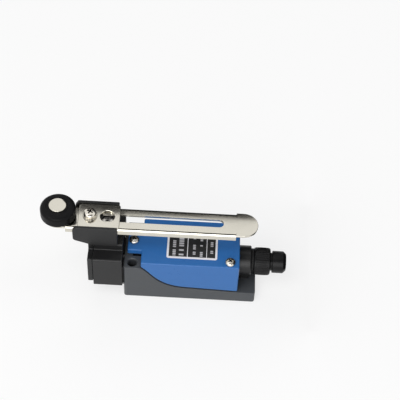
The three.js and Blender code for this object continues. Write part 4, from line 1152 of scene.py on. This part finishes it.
def screwTree():
    tree, given, made = startTree("crossScrew", [
        ("Head Radius", "NodeSocketFloat", 2.5), ("Head Height", "NodeSocketFloat", 1.7),
        ("Cone Depth", "NodeSocketFloat", 0.0), ("Dome", "NodeSocketFloat", 0.42),
        ("Recess Reach", "NodeSocketFloat", 1.25), ("Recess Width", "NodeSocketFloat", 0.55),
        ("Recess Depth", "NodeSocketFloat", 0.9), ("Shank Radius", "NodeSocketFloat", 1.2),
        ("Shank Length", "NodeSocketFloat", 8.0), ("Thread Pitch", "NodeSocketFloat", 0.5),
        ("Turn", "NodeSocketVector", None), ("Seed", "NodeSocketInt", 4), ("Material",
        "NodeSocketMaterial", None)])
    size = given.outputs
    # head: a cylinder whose top is drawn down towards its rim, or whose foot is drawn in to a cone
    blank = addNode(tree, "GeometryNodeMeshCylinder", {"Vertices": 48, "Side Segments": 6, "Fill Segments": 8,
                                                       "Radius": size["Head Radius"],
                                                       "Depth": size["Head Height"]})
    lifted = addNode(tree, "GeometryNodeTransform", {
        "Geometry": blank.outputs["Mesh"],
        "Translation": combineXYZ(tree, z=times(tree, size["Head Height"], 0.5))})
    spot = addNode(tree, "ShaderNodeSeparateXYZ", {0: addNode(tree, "GeometryNodeInputPosition").outputs[0]})
    flat = combineXYZ(tree, spot.outputs["X"], spot.outputs["Y"])
    reach = addNode(tree, "ShaderNodeVectorMath", {0: flat}, operation="LENGTH").outputs["Value"]
    share = mathNode(tree, "DIVIDE", reach, size["Head Radius"])
    drop = times(tree, mathNode(tree, "POWER", share, 3.2), size["Dome"])
    height = times(tree, spot.outputs["Z"], minus(tree, 1.0, drop))
    rise = mathNode(tree, "DIVIDE", spot.outputs["Z"], size["Head Height"])
    roundIn = times(tree, mathNode(tree, "POWER", rise, 3.0), times(tree, size["Dome"], 0.22))
    keep = minus(tree, 1.0, roundIn)
    domed = addNode(tree, "GeometryNodeSetPosition", {
        "Geometry": lifted.outputs[0],
        "Position": combineXYZ(tree, times(tree, spot.outputs["X"], keep),
                               times(tree, spot.outputs["Y"], keep), height)})
    # shank with rings of thread, its top just inside the head
    shank = addNode(tree, "GeometryNodeMeshCylinder", {
        "Vertices": 24, "Side Segments": 32, "Radius": size["Shank Radius"], "Depth": size["Shank Length"]},
        fill_type="NGON")
    sunk = addNode(tree, "GeometryNodeTransform", {
        "Geometry": shank.outputs["Mesh"],
        "Translation": combineXYZ(tree, z=minus(tree, times(tree, size["Shank Length"], -0.5), minus(tree,
        size["Cone Depth"], 0.05)))})
    wave = mathNode(tree, "PINGPONG", spot.outputs["Z"], times(tree, size["Thread Pitch"], 0.5))
    groove = minus(tree, 1.0, times(tree, wave, 0.35))
    threaded = addNode(tree, "GeometryNodeSetPosition", {
        "Geometry": sunk.outputs[0],
        "Position": combineXYZ(tree, times(tree, spot.outputs["X"], groove),
                               times(tree, spot.outputs["Y"], groove), spot.outputs["Z"])})
    # countersunk heads hang below their face
    cone = addNode(tree, "GeometryNodeMeshCone", {
        "Vertices": 48, "Radius Top": size["Head Radius"], "Radius Bottom": size["Shank Radius"],
        "Depth": size["Cone Depth"]})
    hung = addNode(tree, "GeometryNodeTransform", {
        "Geometry": cone.outputs["Mesh"],
        "Translation": combineXYZ(tree, z=times(tree, size["Cone Depth"], -1.0))})
    isCone = addNode(tree, "FunctionNodeCompare", {0: size["Cone Depth"], 1: 0.01}, operation="GREATER_THAN")
    chosen = addNode(tree, "GeometryNodeSwitch", {"Switch": isCone.outputs[0], "False": domed.outputs[0],
                                                  "True": hung.outputs[0]}, input_type="GEOMETRY")
    faceZ = addNode(tree, "GeometryNodeSwitch", {"Switch": isCone.outputs[0], "False": size["Head Height"],
                                                 "True": 0.0}, input_type="FLOAT").outputs[0]
    solid = chosen.outputs[0]
    # the cross: two blades that narrow as they go down
    for along in ("X", "Y"):
        across = "Y" if along == "X" else "X"
        sizes = {along: times(tree, size["Recess Reach"], 2.0), across: size["Recess Width"],
                 "Z": times(tree, size["Recess Depth"], 2.0)}
        blade = addNode(tree, "GeometryNodeMeshCube", {"Size": combineXYZ(tree, sizes["X"], sizes["Y"],
            sizes["Z"])})
        depth = mathNode(tree, "DIVIDE", spot.outputs["Z"], times(tree, size["Recess Depth"], 2.0))
        narrow = plus(tree, 0.95, times(tree, depth, 0.75))
        tapered = addNode(tree, "GeometryNodeSetPosition", {
            "Geometry": blade.outputs["Mesh"],
            "Position": combineXYZ(tree, times(tree, spot.outputs["X"], narrow),
                                   times(tree, spot.outputs["Y"], narrow), spot.outputs["Z"])})
        raisedBlade = addNode(tree, "GeometryNodeTransform", {"Geometry": tapered.outputs[0],
                                                              "Translation": combineXYZ(tree, z=faceZ)})
        sliced = addNode(tree, "GeometryNodeMeshBoolean", operation="DIFFERENCE", solver="EXACT")
        tree.links.new(solid, sliced.inputs["Mesh 1"])
        tree.links.new(raisedBlade.outputs[0], sliced.inputs["Mesh 2"])
        solid = sliced.outputs["Mesh"]
    united = addNode(tree, "GeometryNodeMeshBoolean", operation="UNION", solver="EXACT")
    tree.links.new(solid, united.inputs["Mesh 2"])
    tree.links.new(threaded.outputs[0], united.inputs["Mesh 2"])
    # one screw at each seat, each stopped at its own angle
    spin = addNode(tree, "FunctionNodeRandomValue", {"Min": 0.2, "Max": 1.4, "Seed": size["Seed"]},
                   data_type="FLOAT")
    stopped = addNode(tree, "GeometryNodeInstanceOnPoints", {
        "Points": given.outputs["Geometry"], "Instance": united.outputs["Mesh"],
        "Rotation": size["Turn"]})
    turnedScrews = addNode(tree, "GeometryNodeRotateInstances", {
        "Instances": stopped.outputs[0], "Rotation": combineXYZ(tree, z=spin.outputs[1])})
    endTree(tree, made, turnedScrews.outputs[0], size["Material"])
    return tree


def ribTree():
    tree, given, made = startTree("gripRibs", [
        ("Count", "NodeSocketInt", 36), ("Radius", "NodeSocketFloat", 6.6), ("Length", "NodeSocketFloat",
        6.0),
        ("Width", "NodeSocketFloat", 0.5), ("Height", "NodeSocketFloat", 0.4), ("Axis Height",
        "NodeSocketFloat", 15.0),
        ("Middle", "NodeSocketFloat", 34.6), ("Material", "NodeSocketMaterial", None)])
    size = given.outputs
    ring = addNode(tree, "GeometryNodeMeshCircle", {"Vertices": size["Count"], "Radius": size["Radius"]})
    rib = addNode(tree, "GeometryNodeMeshCylinder", {"Vertices": 10, "Radius": times(tree, size["Width"],
        0.5),
                                                     "Depth": size["Length"], "Side Segments": 3})
    spot = addNode(tree, "ShaderNodeSeparateXYZ", {0: addNode(tree, "GeometryNodeInputPosition").outputs[0]})
    end = mathNode(tree, "DIVIDE", mathNode(tree, "ABSOLUTE", spot.outputs["Z"]), times(tree,
        size["Length"], 0.5))
    narrow = minus(tree, 1.0, times(tree, mathNode(tree, "POWER", end, 6.0), 0.4))
    shaped = addNode(tree, "GeometryNodeSetPosition", {
        "Geometry": rib.outputs["Mesh"],
        "Position": combineXYZ(tree, times(tree, spot.outputs["X"], narrow),
                               times(tree, spot.outputs["Y"], narrow), spot.outputs["Z"])})
    placed = addNode(tree, "GeometryNodeInstanceOnPoints", {"Points": ring.outputs[0],
        "Instance": shaped.outputs[0]})
    laid = addNode(tree, "GeometryNodeTransform", {
        "Geometry": placed.outputs[0], "Rotation": (0.0, math.pi / 2, 0.0),
        "Translation": combineXYZ(tree, size["Middle"], 0.0, size["Axis Height"])})
    endTree(tree, made, laid.outputs[0], size["Material"])
    return tree


def springTree():
    tree, given, made = startTree("coilSpring", [
        ("Turns", "NodeSocketFloat", 4.0), ("Radius", "NodeSocketFloat", 2.6), ("Wire", "NodeSocketFloat",
        0.5),
        ("Length", "NodeSocketFloat", 5.0), ("Turn", "NodeSocketVector", None), ("Place",
        "NodeSocketVector", None),
        ("Material", "NodeSocketMaterial", None)])
    size = given.outputs
    rise = minus(tree, size["Length"], size["Wire"])
    path = addNode(tree, "GeometryNodeCurveSpiral", {"Resolution": 28, "Rotations": size["Turns"],
                                                     "Start Radius": size["Radius"],
                                                     "End Radius": size["Radius"],
                                                     "Height": rise})
    section = addNode(tree, "GeometryNodeCurvePrimitiveCircle", {
        "Resolution": 12, "Radius": times(tree, size["Wire"], 0.5)})
    swept = addNode(tree, "GeometryNodeCurveToMesh", {"Curve": path.outputs[0],
        "Profile Curve": section.outputs[0],
                                                      "Fill Caps": True})
    lifted = addNode(tree, "GeometryNodeTransform", {
        "Geometry": swept.outputs[0],
        "Translation": combineXYZ(tree, z=times(tree, size["Wire"], 0.5))})
    laid = addNode(tree, "GeometryNodeTransform", {"Geometry": lifted.outputs[0], "Rotation": size["Turn"],
                                                   "Translation": size["Place"]})
    endTree(tree, made, laid.outputs[0], size["Material"])
    return tree


def grow(name, tree, points, values, smooth=35):  # a tree's result as a plain mesh in metres
    mesh = bpy.data.meshes.new(name)
    mesh.from_pydata([tuple(point) for point in points], [], [])
    piece = bpy.data.objects.new(name, mesh)
    scene.collection.objects.link(piece)
    modifier = piece.modifiers.new("nodes", "NODES")
    modifier.node_group = tree
    for socket in tree.interface.items_tree:
        if socket.in_out == "INPUT" and socket.name in values:
            modifier[socket.identifier] = values[socket.name]
    settle(piece)
    piece.data.transform(Matrix.Scale(mm, 4))
    build = bmesh.new()
    build.from_mesh(piece.data)
    bmesh.ops.recalc_face_normals(build, faces=build.faces)
    build.to_mesh(piece.data)
    build.free()
    piece.data.shade_smooth()
    piece.data.set_sharp_from_angle(angle=math.radians(smooth))
    return piece


screws = screwTree()
quarter = math.pi / 2
screwSets = [
    # name, nodes, body, slot, material, turn, seat side, sizes
    ("coverScrews", ["cover_screw_1", "cover_screw_2", "cover_screw_3"], "switch_body", "plated_screw",
    "screwPlate",
     (0.0, 0.0, 0.0), 1.7, {"Head Radius": 2.5, "Head Height": 1.7, "Recess Reach": 1.35,
     "Recess Width": 0.62,
                            "Recess Depth": 1.0, "Shank Radius": 1.2, "Shank Length": 8.0}),
    ("clampScrew", ["clamp_screw"], "turning_lever", "plated_screw", "screwPlate", (0.0, 0.0, 0.0), 2.6,
     {"Head Radius": 3.1, "Head Height": 2.6, "Recess Reach": 1.75, "Recess Width": 0.8, "Recess Depth": 1.3,
      "Shank Radius": 1.95, "Shank Length": 10.7, "Dome": 0.34}),
    ("headScrews", ["head_screw_1", "head_screw_2", "head_screw_3", "head_screw_4"], "switch_body", "steel",
     "bareSteel", (0.0, -quarter, 0.0), 0.0, {"Head Radius": 2.2, "Head Height": 1.0, "Cone Depth": 1.0,
                                              "Recess Reach": 1.2, "Recess Width": 0.55, "Recess Depth": 0.8,
                                              "Shank Radius": 1.2, "Shank Length": 19.4}),
    ("terminalScrews", ["terminal_screw_1", "terminal_screw_2", "terminal_screw_3", "terminal_screw_4"],
     "switch_body", "plated_screw", "screwPlate", (0.0, 0.0, 0.0), 1.3,
     {"Head Radius": 2.0, "Head Height": 1.3, "Recess Reach": 1.05, "Recess Width": 0.5, "Recess Depth": 0.75,
      "Shank Radius": 1.0, "Shank Length": 5.0}),
    ("blockScrews", ["block_screw_1", "block_screw_2"], "switch_body", "steel", "bareSteel", (0.0, 0.0,
    0.0), 1.3,
     {"Head Radius": 2.1, "Head Height": 1.3, "Recess Reach": 1.1, "Recess Width": 0.5, "Recess Depth": 0.75,
      "Shank Radius": 1.05, "Shank Length": 4.6}),
    ("earthScrew", ["earth_screw"], "switch_body", "brass", "brass", (0.0, 0.0, 0.0), 1.3,
     {"Head Radius": 2.1, "Head Height": 1.3, "Recess Reach": 1.1, "Recess Width": 0.5, "Recess Depth": 0.75,
      "Shank Radius": 1.05, "Shank Length": 4.6}),
]


def makeScrews(sets):
    for index, (name, nodes, body, slotName, material, turn, headHeight, sizes) in enumerate(sets):
        seats = []
        for node in nodes:
            low, high = boxOf(node)
            centre = (low + high) / 2
            if turn[1]:
                seats.append((low.x + 0.02, centre.y, centre.z))
            else:
                seats.append((centre.x, centre.y, high.z - headHeight))
        values = dict(sizes)
        values.update({"Turn": turn, "Seed": 11 + index, "Material": finishes[material]})
        piece = grow(name, screws, seats, values)
        placePiece(piece, body, slotName, *nodes)


def makeSprings():
    coils = springTree()
    sets = [
        ("plungerSpring", "plunger_spring", "X", 0.5, 4.0),
        ("contactSpring", "contact_spring", "X", 0.4, 6.0),
        ("leverSpring", "lever_spring", "Z", 0.55, 5.0),
    ]
    for name, node, axis, wire, turns in sets:
        low, high = boxOf(node)
        centre = (low + high) / 2
        along = axis == "X"
        length = high.x - low.x if along else high.z - low.z
        outer = (high.z - low.z) / 2 if along else (high.x - low.x) / 2
        place = (low.x, centre.y, centre.z) if along else (centre.x, centre.y, low.z)
        piece = grow(name, coils, [(0, 0, 0)], {
            "Turns": turns, "Radius": outer - wire / 2, "Wire": wire, "Length": length,
            "Turn": (0.0, quarter if along else 0.0, 0.0), "Place": place, "Material": finishes["bareSteel"]})
        placePiece(piece, bodyOf(node), "steel", node)


def bodyOf(node):
    for body, members in frame["record"]["behaviour"]["bodies"].items():
        if node in members:
            return body
    return "switch_body"


def makeRibs():
    ribs = grow("glandRibs", ribTree(), [(0, 0, 0)], {
        "Count": 40, "Radius": 6.5, "Length": 6.4, "Width": 0.55, "Height": 0.4, "Middle": 34.6,
        "Axis Height": middleOf("gland_nut").z, "Material": finishes["blackPlastic"]})
    placePiece(ribs, "switch_body", "black_plastic")


makeScrews(screwSets)
makeSprings()
makeRibs()
print("screws, springs and ribs made")


# pieces that keep their CAD shape and take a better finish
keptFinishes = {
    "lever_shaft": "bareSteel",
    "actuating_cam": "bareSteel",
    "shaft_screw": "bareSteel",
    "plunger": "bareSteel",
    "head_gasket": "rubber",
    "earth_washer": "brass",
    "contact_case": "phenolic",
    "contact_lid": "phenolic",
    "push_button": "blackPlastic",
    "contact_bridge": "brass",
    "terminal_1": "brass",
    "terminal_2": "brass",
    "terminal_3": "brass",
    "terminal_4": "brass",
}


def repaint(node, material):
    slots = shownNodes[node].data.materials
    slots.clear()
    slots.append(finishes[material])


for nodeName, finishName in keptFinishes.items():
    repaint(nodeName, finishName)
unpainted = [name for name, piece in shownNodes.items() if not piece.hide_render and name not in keptFinishes]
print("kept CAD pieces:", len(keptFinishes), "left plain:", unpainted)
